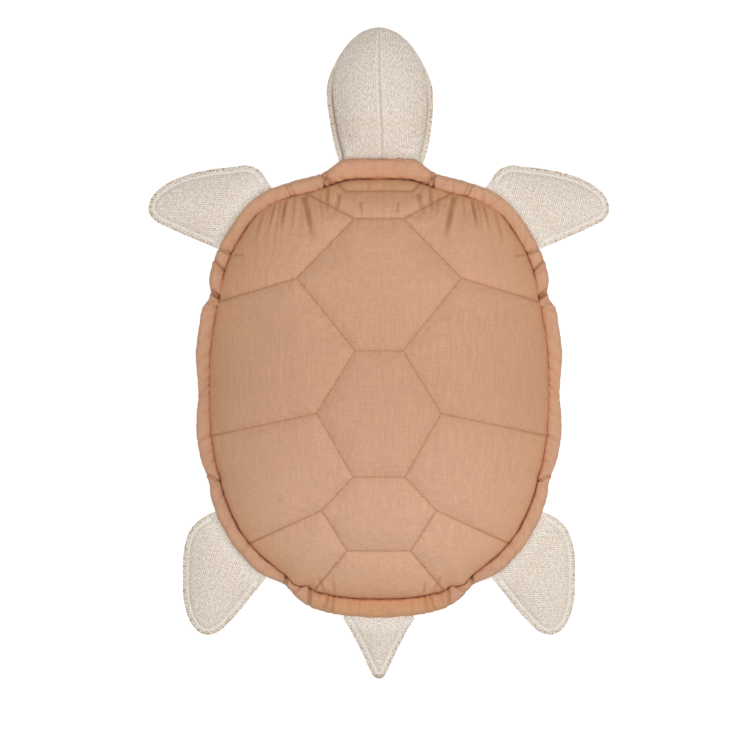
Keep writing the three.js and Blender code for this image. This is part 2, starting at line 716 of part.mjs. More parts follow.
const turtle = new THREE.Group();
const rimEnd = BAND_END_BEARING + degrees(CLEARANCE / smoothRadius(BAND_END_BEARING));
turtle.add(
  named("quilted_top", quiltedTop(), clothFinish(clothColour)),
  named("belly_panel", bellyPanel(), clothFinish(clothColour)),
  named("body_filling", bodyFilling(), stuffingFinish()),
  named(
    "rim_roll",
    rimLength(rimEnd, 360 - rimEnd, [...flippers, tail].map(pocketFor)),
    clothFinish(rimColour),
  ),
  named(
    "neck_band",
    rimLength(-BAND_END_BEARING, BAND_END_BEARING, [pocketFor(head)]),
    clothFinish(rimColour),
  ),
  ...[head, ...flippers, tail].map(limbGroup),
);

export default turtle;
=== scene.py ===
import math

import bpy
import numpy as np
from mathutils import Matrix, Vector, noise
from mathutils.bvhtree import BVHTree
from mathutils.geometry import delaunay_2d_cdt


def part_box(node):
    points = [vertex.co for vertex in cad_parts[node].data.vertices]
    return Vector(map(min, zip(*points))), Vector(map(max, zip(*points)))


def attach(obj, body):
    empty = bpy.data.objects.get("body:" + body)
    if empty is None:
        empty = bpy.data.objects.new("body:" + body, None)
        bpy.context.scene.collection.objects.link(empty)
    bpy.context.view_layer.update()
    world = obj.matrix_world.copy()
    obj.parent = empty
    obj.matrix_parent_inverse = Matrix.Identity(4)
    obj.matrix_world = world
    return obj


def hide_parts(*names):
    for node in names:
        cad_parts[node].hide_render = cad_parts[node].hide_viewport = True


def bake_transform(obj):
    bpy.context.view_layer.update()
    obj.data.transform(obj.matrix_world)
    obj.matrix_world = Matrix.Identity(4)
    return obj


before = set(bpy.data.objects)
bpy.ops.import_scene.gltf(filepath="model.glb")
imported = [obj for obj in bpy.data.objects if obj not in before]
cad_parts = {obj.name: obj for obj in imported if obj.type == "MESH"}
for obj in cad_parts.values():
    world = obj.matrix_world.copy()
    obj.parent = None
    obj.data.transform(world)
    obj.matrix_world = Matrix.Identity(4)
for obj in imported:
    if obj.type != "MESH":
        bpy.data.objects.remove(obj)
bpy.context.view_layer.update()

bl_info = {
    "name": "Turtle Cushion",
    "version": (1, 0, 0),
    "blender": (4, 5, 0),
    "location": "3D View > Sidebar > Cushion",
    "description": "Makes a quilted floor cushion in the form of a turtle",
    "category": "Add Mesh",
}

# Shapes are worked out in millimetres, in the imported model's frame, and made in metres.
MM = 0.001

# The smooth outline of the shell's right half, from the front middle to the rear middle,
# as shares of half the shell's width and half its length.
SHELL_OUTLINE = [
    (0, 1), (0.228, 0.99), (0.446, 0.951), (0.603, 0.906), (0.715, 0.842), (0.811, 0.738),
    (0.887, 0.622), (0.93, 0.509), (0.961, 0.376), (0.993, 0.218), (1, 0.048), (0.996, -0.139),
    (0.968, -0.306), (0.928, -0.439), (0.88, -0.551), (0.811, -0.659), (0.715, -0.755),
    (0.588, -0.843), (0.485, -0.896), (0.39, -0.951), (0.26, -0.986), (0.13, -0.999), (0, -1.002),
]

# Quilting corners on the right half, as shares of half the shell's width and length, and
# the bearings, in degrees from the head, at which quilting lines run into the groove.
CORNERS = {
    "collar": (0.182, 0.899), "neck": (0.133, 0.775), "shoulder": (0.444, 0.509), "chest": (0.128, 0.188),
    "waist": (0.335, -0.089), "back": (0.139, -0.37), "hip": (0.309, -0.518), "rump": (0.172, -0.699),
}
GROOVE_ENDS = {"collar_end": 11.2, "front": 20.4, "side": 60.6, "middle": 104.3, "low": 139.2, "rear": 161.7}

# Quilting lines of the right half, and the lines that cross the middle.
SIDE_LINES = [
    ("collar_end", "collar"), ("front", "neck"), ("neck", "shoulder"), ("side", "shoulder"),
    ("shoulder", "chest"), ("chest", "waist"), ("middle", "waist"), ("waist", "back"), ("back", "hip"),
    ("low", "hip"), ("hip", "rump"), ("rear", "rump"),
]
CROSS_LINES = ["collar", "neck", "chest", "back", "rump"]

# Wide tucks in the rim, and swellings where the depth is below 0: bearing, depth and reach in degrees.
RIM_TUCKS = [
    (24, -0.7, 8), (60, 6, 2.8), (65, -1.2, 4), (78, -0.8, 7), (90, 3, 8), (103, -0.8, 7), (117, 2.6, 4),
    (153, 5, 3.8),
]

# Places where the groove inside the rim lies further out or in: bearing, distance and reach.
GROOVE_BENDS = [(156, 4.5, 2.2), (160, -2.5, 1.3), (58.9, -1.5, 1.2), (104.4, 0.8, 1.5), (117.5, -1.2, 2)]

# Sharp creases across the rim: bearing, depth, reach in degrees and slant in degrees.
RIM_CREASES = [
    (13.9, 2.6, 0.4, 0.9), (14.1, 2.2, 0.4, -0.9), (17.2, 0.8, 0.5, 0.9), (19.4, 0.6, 0.6, -0.8),
    (23.2, 1.4, 0.4, 0.1), (24.1, 1.8, 0.4, 0.1), (27.5, 0.7, 0.7, -0.9),
    (31, 0.5, 0.7, 0.8), (36, 0.5, 0.9, 1.2), (43, 0.5, 0.8, -1), (47.3, 2.1, 0.55, 0.7),
    (51.3, 2.2, 0.5, -0.3), (52.8, 0.9, 0.5, 0.4), (58.9, 5.5, 0.8, -0.2), (61.4, 1.3, 0.6, 1.4),
    (63.4, 1.1, 0.6, 1.8), (67, 0.6, 0.8, 2), (73, 0.6, 0.9, 2.2), (79, 0.8, 1, 2.4), (83.5, 0.6, 0.8, 2.2),
    (87.4, 0.6, 0.8, 2.4), (89.6, 1.3, 0.8, 2.6), (91.8, 0.6, 0.8, 2.2), (97, 0.4, 0.9, 1.4),
    (104.4, 0.9, 0.6, 0.4), (107.6, 0.4, 0.7, 0.9), (110, 0.5, 0.7, 0.8), (113, 0.5, 0.7, 0.6),
    (117.2, 3, 0.4, -2), (119.5, 0.8, 0.7, -0.6), (124, 0.5, 0.8, 0.8), (131, 0.6, 0.9, 0.8),
    (139.2, 0.7, 0.8, 0.3), (143, 0.5, 0.8, -0.8), (147.5, 0.6, 0.8, -0.8), (153.7, 2.6, 0.7, 0.4),
    (157, 1.4, 0.7, -1), (161.2, 2.4, 0.6, 0.6), (163.2, 0.6, 0.5, -0.3), (165.8, 1.6, 0.45, -0.2),
    (167.6, 1.4, 0.45, 0.2), (169.6, 0.25, 0.5, 0.2), (171.5, 0.4, 0.6, 0.3), (174.4, 0.4, 0.6, -0.3),
    (177.6, 0.35, 0.6, 0.2),
]

# Folds of the neck band, from the dent where each starts inside to its place at the band's end.
BAND_FOLDS = [(8.3, 0.1), (10.6, -0.35)]

# Soft folds in the quilt, on the left half and mirrored: the two ends of each valley, its
# half width and its depth.
QUILT_FOLDS = [
    ((-110, 210), (-118, 174), 2.6, 1.4), ((-105, 209), (-110, 172), 2.4, 1.2),
    ((-99, 212), (-105, 178), 3.2, 1.9), ((-80, 211), (-71, 166), 4.6, 2.0),
    ((-55, 226), (-56, 196), 3.4, 1.5), ((-42, 214), (-48, 190), 3.6, 1.2),
    ((-20, 204), (-18, 188), 2.6, 0.8), ((-125, 194), (-133, 160), 3.6, 1.0),
    ((-90, 214), (-92, 184), 3.0, 0.9), ((-156, 149), (-144, 147), 2.2, 1.0),
    ((-12, 226), (-12, 212), 3.0, 0.4), ((-64, 214), (-60, 186), 3.0, 0.8),
    ((-60, -212), (-66, -196), 3.0, 0.8), ((-48, -216), (-50, -200), 3.0, 0.8),
]

# Outlines of the limbs, from one end of the root to the other: across as a share of the
# root's width, outwards as a share of the length. A flipper starts nearest the head.
FRONT_FLIPPER_OUTLINE = [
    (0.54, 0), (0.571, 0.1), (0.57, 0.18), (0.525, 0.3), (0.425, 0.4), (0.22, 0.605), (-0.05, 0.822),
    (-0.31, 0.95), (-0.515, 0.973), (-0.665, 0.905), (-0.715, 0.775), (-0.665, 0.52), (-0.57, 0.18),
    (-0.515, 0),
]
REAR_FLIPPER_OUTLINE = [
    (0.52, 0), (0.53, 0.14), (0.5, 0.3), (0.37, 0.495), (0.065, 0.758), (-0.18, 0.922),
    (-0.44, 1.005), (-0.615, 0.965), (-0.7, 0.82), (-0.667, 0.48), (-0.6, 0.2), (-0.55, 0),
]
HALF_HEAD_OUTLINE = [
    (0.5, 0), (0.545, 0.12), (0.58, 0.27), (0.603, 0.43), (0.595, 0.55), (0.535, 0.67), (0.44, 0.79),
    (0.335, 0.885), (0.19, 0.965), (0, 1),
]
HALF_TAIL_OUTLINE = [(0.5, 0), (0.37, 0.26), (0.24, 0.56), (0.135, 0.83), (0.075, 0.96), (0, 1)]

# Sizes of the limbs in millimetres: how far the stuffing swells above and below, and the length
# of the neck over which it starts. The underside is deepest at this share of the length.
HEAD_SIZES = {"root_width": 95, "length": 139, "hem": 6, "swells": (47, 18), "deepest": 0.62, "neck": 40}
FLIPPER_SIZES = {"root_width": 88, "length": 87, "hem": 7, "swells": (11, 8.5), "deepest": 0.68, "neck": 21}
TAIL_SIZES = {"root_width": 76, "length": 68.5, "hem": 7, "swells": (7, 5), "deepest": 0.72, "neck": 12}

# Bearings of the flippers' roots on the right, in degrees from the head.
FRONT_FLIPPER_BEARING = 38
REAR_FLIPPER_BEARING = 137

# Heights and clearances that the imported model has, in millimetres.
CLOTH = 1.2
SEAM_HEIGHT = 18
SEAT = SEAM_HEIGHT + CLOTH + 0.3
ROOT_THICKNESS = 2.7
HINGE_HEIGHT = SEAT + ROOT_THICKNESS
HINGE_STANDOFF = 2
TAB_DEPTH = 12
TAB_TAPER = 0.92
FACING_STEP = 6
SWELL_START = 6
FLOOR_GAP = 0.8
QUILT_THICKNESS = 9
QUILT_EDGE_WIDTH = 5
QUILT_EDGE_TOP = SEAT + 3
GROOVE_GAP = 0.3
RIM_OVERHANG = 2.6
FILLING_GAP = 1.2
BACKING_GAP = 0.8
FLOOR_REACH = 4000
FLOOR_DROP = 0.3
WELL_ABOVE = 400
WELL_BELOW = -50
DOME_FLATNESS = 2.3
DOME_FULLNESS = 0.58
BAND_REACH = 12.5
BAND_EXTRA_HEIGHT = 4
BAND_GROOVE_SHIFT = 5
REAR_GROOVE_SHIFT = -4.5
BAND_END = 14.7
RIDGE_HEIGHT = 1.3
RIDGE_WIDTH = 1.5
RIDGE_FROM_STITCHES = 1.2
EDGE_PINCH = 0.35
HEAD_LEAN = 2.8
HEAD_OVERLOCK_END = 95
BELLY_EDGE_INSET = 2.5
BELLY_FLAT_SHARE = 0.72

# How the cloths are cut into triangles, and how they are blown up, in millimetres.
CLOTH_STEP = 4
FOLD_STEP = 2
LIMB_STEP = 3
ROWS_ALONG_EDGE = (0.5, 1.3, 2.6, 4.4, 6.8)
ROWS_ALONG_QUILTING = (2.1, 4.6)
SWELL_PRESSURE = 4
SWELL_FRAMES = 20

# Rings of the belly, and of the backing over the stuffing, as shares of the way out.
BELLY_RINGS = (0.12, 0.28, 0.44, 0.58, 0.66, 0.72, 0.76, 0.8, 0.84, 0.88, 0.92, 0.96, 1)
INNER_RINGS = (0.94, 0.8, 0.5, 0.2)

# Threads over the raw edges of the limbs, and along the quilting, in metres.
OVERLOCK = {"Pitch": 0.0029, "Length": 0.0042, "Width": 0.0014, "Turn": math.radians(65), "Uneven": 0.5,
            "Seed": 5}
QUILTING = {"Width": 0.001, "Uneven": 0.2, "Seed": 3}
STITCH_SHARE = 0.6

# Painted light and shade that multiply the cottons' colours: lighter towards the quilt's front and rear,
# darker towards the rim's rear, darker and warmer on the steep edge beside the groove; painted highlights on
# the limbs' ridges and painted light beside their roots.
QUILT_FRONT_LIGHT = (1.08, 1.1, 1.08)
QUILT_REAR_LIGHT = (1.17, 1.24, 1.31)
RIM_REAR_SHADE = (0.94, 0.95, 1)
SLOPE_SHADE = (1, 0.935, 0.745)
RIDGE_HIGHLIGHT = (0.9, 0.86, 0.81, 1)
ROOT_LIGHT = (1.05, 1.1, 1.14, 1)

# Camera, in millimetres: a long lens, as far off as shows the view's width at its centre.
SENSOR_WIDTH = 36
LENS = 300
VIEW_CENTRE = (-4.3, 19.5, 30)

# Weave of the limbs, in metres: from rib to rib, and from float to float along a rib.
RIB_PITCH = 0.0024
FLOAT_PITCH = 0.0024


# Numbers and curves

def bell(away, reach):
    """1 at no distance, with a smooth fall to 0 on both sides."""
    return np.exp(-((away / reach) ** 2))


def hills(value, table):
    """Sum of the bells that a table gives by place, height and reach."""
    return sum(height * bell(value - at, reach) for at, height, reach in table)


def fall(depth, reach):
    """1 outside an edge, falling off with the depth behind it."""
    return np.exp(-np.maximum(depth, 0) / reach)


def smoothstep(value, low, high):
    """0 below low, 1 above high and a smooth rise between them."""
    share = np.clip((np.asarray(value, float) - low) / (high - low), 0, 1)
    return share * share * (3 - 2 * share)


def ripple(points, sizes, seed):
    """Smooth noise from -1 to 1 at each point, with its own size in millimetres along each axis."""
    scaled = np.asarray(points, float) / np.asarray(sizes, float) + seed * 17.3
    return np.array([noise.noise(Vector(p)) for p in scaled])


def smooth_curve(corners, count, closed=False):
    """Points of a centripetal Catmull-Rom curve through the corners."""
    corners = np.asarray(corners, float)
    total = len(corners)
    spans = total if closed else total - 1
    if closed:
        padded = np.vstack([corners[-1:], corners, corners[:2]])
    else:
        padded = np.vstack([2 * corners[:1] - corners[1:2], corners, 2 * corners[-1:] - corners[-2:-1]])
    points = []
    for step in range(count if closed else count + 1):
        place = spans * step / count
        first = min(int(place), spans - 1)
        t = place - first
        p0, p1, p2, p3 = padded[first:first + 4]
        d0, d1, d2 = (max(np.linalg.norm(b - a) ** 0.5, 1e-4) for a, b in ((p0, p1), (p1, p2), (p2, p3)))
        m1 = ((p1 - p0) / d0 - (p2 - p0) / (d0 + d1) + (p2 - p1) / d1) * d1
        m2 = ((p2 - p1) / d1 - (p3 - p1) / (d1 + d2) + (p3 - p2) / d2) * d1
        cubic = (2 * p1 - 2 * p2 + m1 + m2) * t ** 3 + (-3 * p1 + 3 * p2 - 2 * m1 - m2) * t ** 2
        points.append(cubic + m1 * t + p1)
    return np.array(points)


def even_points(points, step):
    """The same path with its points at even distances, close to step apart."""
    lengths = np.linalg.norm(np.diff(points, axis=0), axis=1)
    along = np.concatenate([[0], np.cumsum(lengths)])
    count = max(2, round(along[-1] / step))
    at = np.linspace(0, along[-1], count + 1)
    return np.column_stack([np.interp(at, along, points[:, axis]) for axis in range(points.shape[1])])


def normals_of_path(points):
    """Unit normals to the left of a flat path."""
    along = np.gradient(points, axis=0)
    left = np.column_stack([-along[:, 1], along[:, 0]])
    return left / np.linalg.norm(left, axis=1)[:, None]


def distance_to_path(points, paths):
    """Distance from each flat point to the nearest of several flat paths."""
    best = np.full(len(points), np.inf)
    for path in paths:
        for a, b in zip(path, path[1:]):
            along = b - a
            share = np.clip((points - a) @ along / max(along @ along, 1e-9), 0, 1)
            best = np.minimum(best, np.linalg.norm(points - a - share[:, None] * along, axis=1))
    return best


def is_inside(points, ring):
    """Whether each flat point lies inside a closed ring."""
    inside = np.zeros(len(points), bool)
    x, y = points.T
    for (ax, ay), (bx, by) in zip(ring, np.roll(ring, -1, axis=0)):
        if ay != by:
            crosses = (ay > y) != (by > y)
            inside ^= crosses & (x < (bx - ax) * (y - ay) / (by - ay) + ax)
    return inside


def grid_of_points(ring, step):
    """Evenly spaced points in staggered rows over the box of a ring."""
    low, high = ring.min(axis=0), ring.max(axis=0)
    rows = []
    for number, y in enumerate(np.arange(low[1], high[1], step * math.sqrt(0.75))):
        x = np.arange(low[0] + step / 2 * (number % 2), high[0], step)
        rows.append(np.column_stack([x, np.full(len(x), y)]))
    return np.vstack(rows)


class Layout:
    """A flat layout of cloth, to be cut into triangles between its edge and its sewn lines."""

    def __init__(self):
        self.points = []
        self.edges = []
        self.cells = {}

    def add(self, point, apart=0.05):
        """Number of the point, which is a new one unless another lies within this distance."""
        column, row = int(point[0] // CLOTH_STEP), int(point[1] // CLOTH_STEP)
        for i in range(column - 1, column + 2):
            for j in range(row - 1, row + 2):
                for number in self.cells.get((i, j), ()):
                    if math.dist(self.points[number], point) < apart:
                        return number
        self.points.append((float(point[0]), float(point[1])))
        self.cells.setdefault((column, row), []).append(len(self.points) - 1)
        return len(self.points) - 1

    def line(self, path):
        numbers = [self.add(point) for point in path]
        self.edges += [(a, b) for a, b in zip(numbers, numbers[1:]) if a != b]
        return numbers

    def fill(self, points, apart):
        for point in points:
            self.add(point, apart)

    def triangles(self, ring):
        """Corner numbers of the triangles inside the ring, anticlockwise."""
        vectors = [Vector(point) for point in self.points]
        corners, _, faces, *_ = delaunay_2d_cdt(vectors, self.edges, [ring], 1, 1e-5)
        if len(corners) != len(self.points):
            raise RuntimeError("sewn lines of the cloth layout cross each other")
        faces = np.array(faces)
        a, b, c = (np.array(self.points)[faces[:, k]] for k in range(3))
        area = (b[:, 0] - a[:, 0]) * (c[:, 1] - a[:, 1]) - (b[:, 1] - a[:, 1]) * (c[:, 0] - a[:, 0])
        faces[area < 0] = faces[area < 0][:, ::-1]
        return faces


# Meshes and objects

def mesh_object(name, points, faces):
    """A new object at the origin, from points in millimetres."""
    mesh = bpy.data.meshes.new(name)
    mesh.from_pydata(np.asarray(points, float) * MM, [], [list(map(int, face)) for face in faces])
    mesh.validate()
    obj = bpy.data.objects.new(name, mesh)
    bpy.context.scene.collection.objects.link(obj)
    return obj


def coordinates(mesh):
    """Vertex places of a mesh, in millimetres."""
    values = np.empty(len(mesh.vertices) * 3)
    mesh.vertices.foreach_get("co", values)
    return values.reshape(-1, 3) / MM


def move_points(mesh, points):
    mesh.vertices.foreach_set("co", (np.asarray(points, float) * MM).ravel())
    mesh.update()


def evaluated_mesh(obj):
    """A plain mesh of the object as its modifiers leave it."""
    depsgraph = bpy.context.evaluated_depsgraph_get()
    return bpy.data.meshes.new_from_object(obj.evaluated_get(depsgraph), depsgraph=depsgraph)


def subdivide(obj):
    """Smooth the mesh once and keep the result as plain faces."""
    surface = obj.modifiers.new("Smooth", "SUBSURF")
    surface.levels = 1
    surface.render_levels = 1
    mesh = evaluated_mesh(obj)
    obj.modifiers.remove(surface)
    old = obj.data
    obj.data = mesh
    bpy.data.meshes.remove(old)
    mesh.name = obj.name


def mark(obj, **shares):
    """Keep a share from 0 to 1 at each point, under the name by which the material reads it."""
    for name, values in shares.items():
        attribute = obj.data.attributes.new(name, "FLOAT", "POINT")
        attribute.data.foreach_set("value", np.asarray(values, np.float32))


def finish_piece(obj, material):
    obj.data.materials.clear()
    obj.data.materials.append(material)
    obj.data.shade_smooth()


def swell(obj, pinned, slack, cap):
    """Blow the cloth up between its pinned points, and keep each point within cap of its start."""
    start = coordinates(obj.data)
    group = obj.vertex_groups.new(name="pinned")
    group.add([int(number) for number in np.flatnonzero(pinned)], 1.0, "REPLACE")
    modifier = obj.modifiers.new("Swell", "CLOTH")
    settings = modifier.settings
    settings.quality = 5
    settings.vertex_group_mass = group.name
    settings.use_pressure = True
    settings.uniform_pressure_force = SWELL_PRESSURE
    settings.shrink_min = -slack
    settings.effector_weights.gravity = 0
    modifier.collision_settings.use_collision = False
    modifier.point_cache.frame_start = 1
    modifier.point_cache.frame_end = SWELL_FRAMES
    scene = bpy.context.scene
    for number in range(1, SWELL_FRAMES + 1):
        scene.frame_set(number)
    mesh = evaluated_mesh(obj)
    moved = coordinates(mesh) - start
    bpy.data.meshes.remove(mesh)
    obj.modifiers.remove(modifier)
    obj.vertex_groups.remove(group)
    scene.frame_set(1)
    length = np.linalg.norm(moved, axis=1)
    held = cap * np.tanh(length / cap) / np.maximum(length, 1e-6)
    move_points(obj.data, start + moved * held[:, None])


# Plan of the shell

class ShellPlan:
    """Outlines and heights of the shell, in millimetres. Bearings are clockwise from the head."""

    def __init__(self, sizes):
        self.half = np.array([sizes.width, sizes.length]) / 2 / MM
        self.crown = sizes.crown / MM
        self.rim_width = sizes.rim_width / MM
        self.rim_height = sizes.rim_height / MM
        self.channel_depth = sizes.channel_depth / MM
        right = np.array(SHELL_OUTLINE) * self.half
        left = right[-2:0:-1] * (-1, 1)
        outline = smooth_curve(np.vstack([right, left]), 720, closed=True)
        inwards = -normals_of_path(np.vstack([outline[-1:], outline, outline[:1]]))[1:-1]
        self.outline_table = self.polar(outline)
        self.groove_table = self.polar(outline + inwards * self.rim_width)
        self.lines = self.quilting()

    @staticmethod
    def polar(points):
        points = points[points[:, 0] >= -1e-6]
        bearing = np.degrees(np.arctan2(np.abs(points[:, 0]), points[:, 1]))
        order = np.argsort(bearing)
        return bearing[order], np.hypot(*points[order].T)

    @staticmethod
    def side(bearing):
        return np.abs((np.asarray(bearing, float) + 180) % 360 - 180)

    def outline(self, bearing):
        return np.interp(self.side(bearing), *self.outline_table)

    def band(self, bearing):
        return 1 - smoothstep(self.side(bearing), 7, 16.5)

    def groove(self, bearing):
        side = self.side(bearing)
        shift = BAND_GROOVE_SHIFT * self.band(bearing) + REAR_GROOVE_SHIFT * smoothstep(side, 158, 166)
        return np.interp(side, *self.groove_table) + (shift + hills(side, GROOVE_BENDS))

    def inset(self, points):
        """How far inside the groove each point lies, seen from above."""
        return self.groove(bearing_of(points)) - np.hypot(*points[:, :2].T)

    def tuck(self, bearing):
        return hills(self.side(bearing), RIM_TUCKS)

    def dark_groove(self, bearing):
        """1 where the groove shows as a dark line, and 0 where the rim leans over it."""
        side = self.side(bearing)
        corner = 0.6 * smoothstep(side, 33, 37) * (1 - smoothstep(side, 52, 58))
        return np.maximum(np.maximum(1 - smoothstep(side, 14, 16), corner), smoothstep(side, 108, 118))

    def rim(self, bearing):
        return self.outline(bearing) - self.tuck(bearing) + BAND_REACH * self.band(bearing)

    def corner(self, name, side):
        if name in GROOVE_ENDS:
            bearing = side * GROOVE_ENDS[name]
            return on_bearing(bearing, self.groove(bearing))
        return np.array(CORNERS[name]) * self.half * (side, 1)

    def quilting(self):
        """The two ends of every quilting line."""
        lines = [(self.corner(a, side), self.corner(b, side)) for a, b in SIDE_LINES for side in (-1, 1)]
        return lines + [(self.corner(name, -1), self.corner(name, 1)) for name in CROSS_LINES]

    def groove_bearings(self, step):
        """Bearings round the groove, step millimetres apart and with every line's end among them."""
        ends = sorted(side * bearing for bearing in GROOVE_ENDS.values() for side in (-1, 1))
        bearings = []
        for first, last in zip(ends, ends[1:] + [ends[0] + 360]):
            arc = math.radians(last - first) * self.groove((first + last) / 2)
            bearings.append(np.linspace(first, last, max(2, round(arc / step)), endpoint=False))
        return np.concatenate(bearings)


def on_bearing(bearing, radius):
    angle = np.radians(bearing)
    return np.stack([radius * np.sin(angle), radius * np.cos(angle)], axis=-1)


def bearing_of(points):
    return np.degrees(np.arctan2(points[:, 0], points[:, 1]))


def dome_rise(share):
    return np.maximum(0, 1 - np.minimum(share, 1) ** DOME_FLATNESS) ** DOME_FULLNESS


def dome_height(share, top, edge):
    return edge + (top - edge) * dome_rise(share)


def stacked_rings(bearings, sections, start=0):
    """Points of rings given by radius and height, and the numbers of each ring's points."""
    count = len(bearings)
    points = [np.column_stack([on_bearing(bearings, radius), np.broadcast_to(height, count)])
              for radius, height in sections]
    rings = [list(range(start + i * count, start + (i + 1) * count)) for i in range(len(sections))]
    return np.vstack(points), rings


def ring_faces(counts, closed_start=None, closed_end=None):
    """Faces between rings of equal counts, given by the numbers of their points."""
    faces = []
    for low, high in zip(counts, counts[1:]):
        size = len(low)
        faces += [(low[i], low[(i + 1) % size], high[(i + 1) % size], high[i]) for i in range(size)]
    if closed_start is not None:
        first = counts[0]
        faces += [(first[(i + 1) % len(first)], first[i], closed_start) for i in range(len(first))]
    if closed_end is not None:
        last = counts[-1]
        faces += [(last[i], last[(i + 1) % len(last)], closed_end) for i in range(len(last))]
    return faces


def cap_faces(numbers, flat):
    """Faces that close a ring from below, given by the numbers and the flat places of its points."""
    vectors = [Vector(point) for point in np.asarray(flat, float)]
    faces = delaunay_2d_cdt(vectors, [], [list(range(len(vectors)))], 1, 1e-6)[2]
    a, b, c = (vectors[corner] for corner in faces[0][:3])
    turns_left = (b - a).cross(c - a) > 0
    return [tuple(numbers[i] for i in (reversed(face) if turns_left else face)) for face in faces]


# Quilted top

def quilt_heights(plan, flat):
    """Height of the quilt above each flat point, before its cloth swells."""
    bearing = bearing_of(flat)
    share = np.hypot(*flat.T) / plan.groove(bearing)
    away = distance_to_path(flat, plan.lines)
    falloff = np.minimum(1, 3 * dome_rise(share))
    channel = plan.channel_depth * np.exp(-((away / 7) ** 1.3)) * falloff
    return dome_height(share, plan.crown, QUILT_EDGE_TOP) - channel


def quilt_folds(plan, flat):
    """How far gathers and soft folds lift each flat point of the quilt, and how deep it lies in a fold."""
    bearing = bearing_of(flat)
    share = np.hypot(*flat.T) / plan.groove(bearing)
    falloff = np.minimum(1, 3 * dome_rise(share))
    folds = np.zeros(len(flat))
    for start, end, width, depth in QUILT_FOLDS:
        for side in (1, -1):
            a = np.array(start) * (side, 1)
            b = np.array(end) * (side, 1)
            along = b - a
            place = (flat - a) @ along / (along @ along)
            across = np.linalg.norm(flat - a - np.clip(place, 0, 1)[:, None] * along, axis=1)
            fading = smoothstep(place, -0.25, 0) * (1 - smoothstep(place, 0.45, 1.25))
            away = across / (0.8 * width)
            folds += depth * fading * (1.5 * bell(away, 0.75) - 0.45 * bell(away - 1.5, 0.6))
    inside = plan.groove(bearing) * (1 - share)
    front = smoothstep(flat[:, 1], 90, 170) * (1 - smoothstep(inside, 20, 75))
    mirrored = np.column_stack([np.abs(flat[:, 0]), flat[:, 1], np.zeros(len(flat))])
    upright = (0.35 - np.abs(ripple(mirrored, (8, 60, 10), 1))) * 3.4 * front
    soft = ripple(mirrored, (38, 46, 10), 2) * 1.6
    near_line = np.exp(-distance_to_path(flat, plan.lines) / 7)
    puckers = ripple(mirrored, (5, 5, 10), 8) * 0.9 * near_line
    round_edge = fall(inside, 9)
    gathers = ripple(np.column_stack([plan.side(bearing) * 3.4, inside / 3, 0 * inside]), (7, 9, 9), 9)
    lift = (upright + soft + puckers + gathers * 1.4 * round_edge) * falloff
    near_rim = np.minimum(1, 6 * dome_rise(share)) * smoothstep(inside, 0.3, 2)
    return lift - folds * near_rim, np.clip(folds / 2.2, 0, 1) * near_rim


def wall_bulge(inset):
    """How far the padded wall of the quilt stands out over its seam."""
    return 2.4 * (1 - np.exp(-inset / 1.2)) * np.exp(-inset / 14)


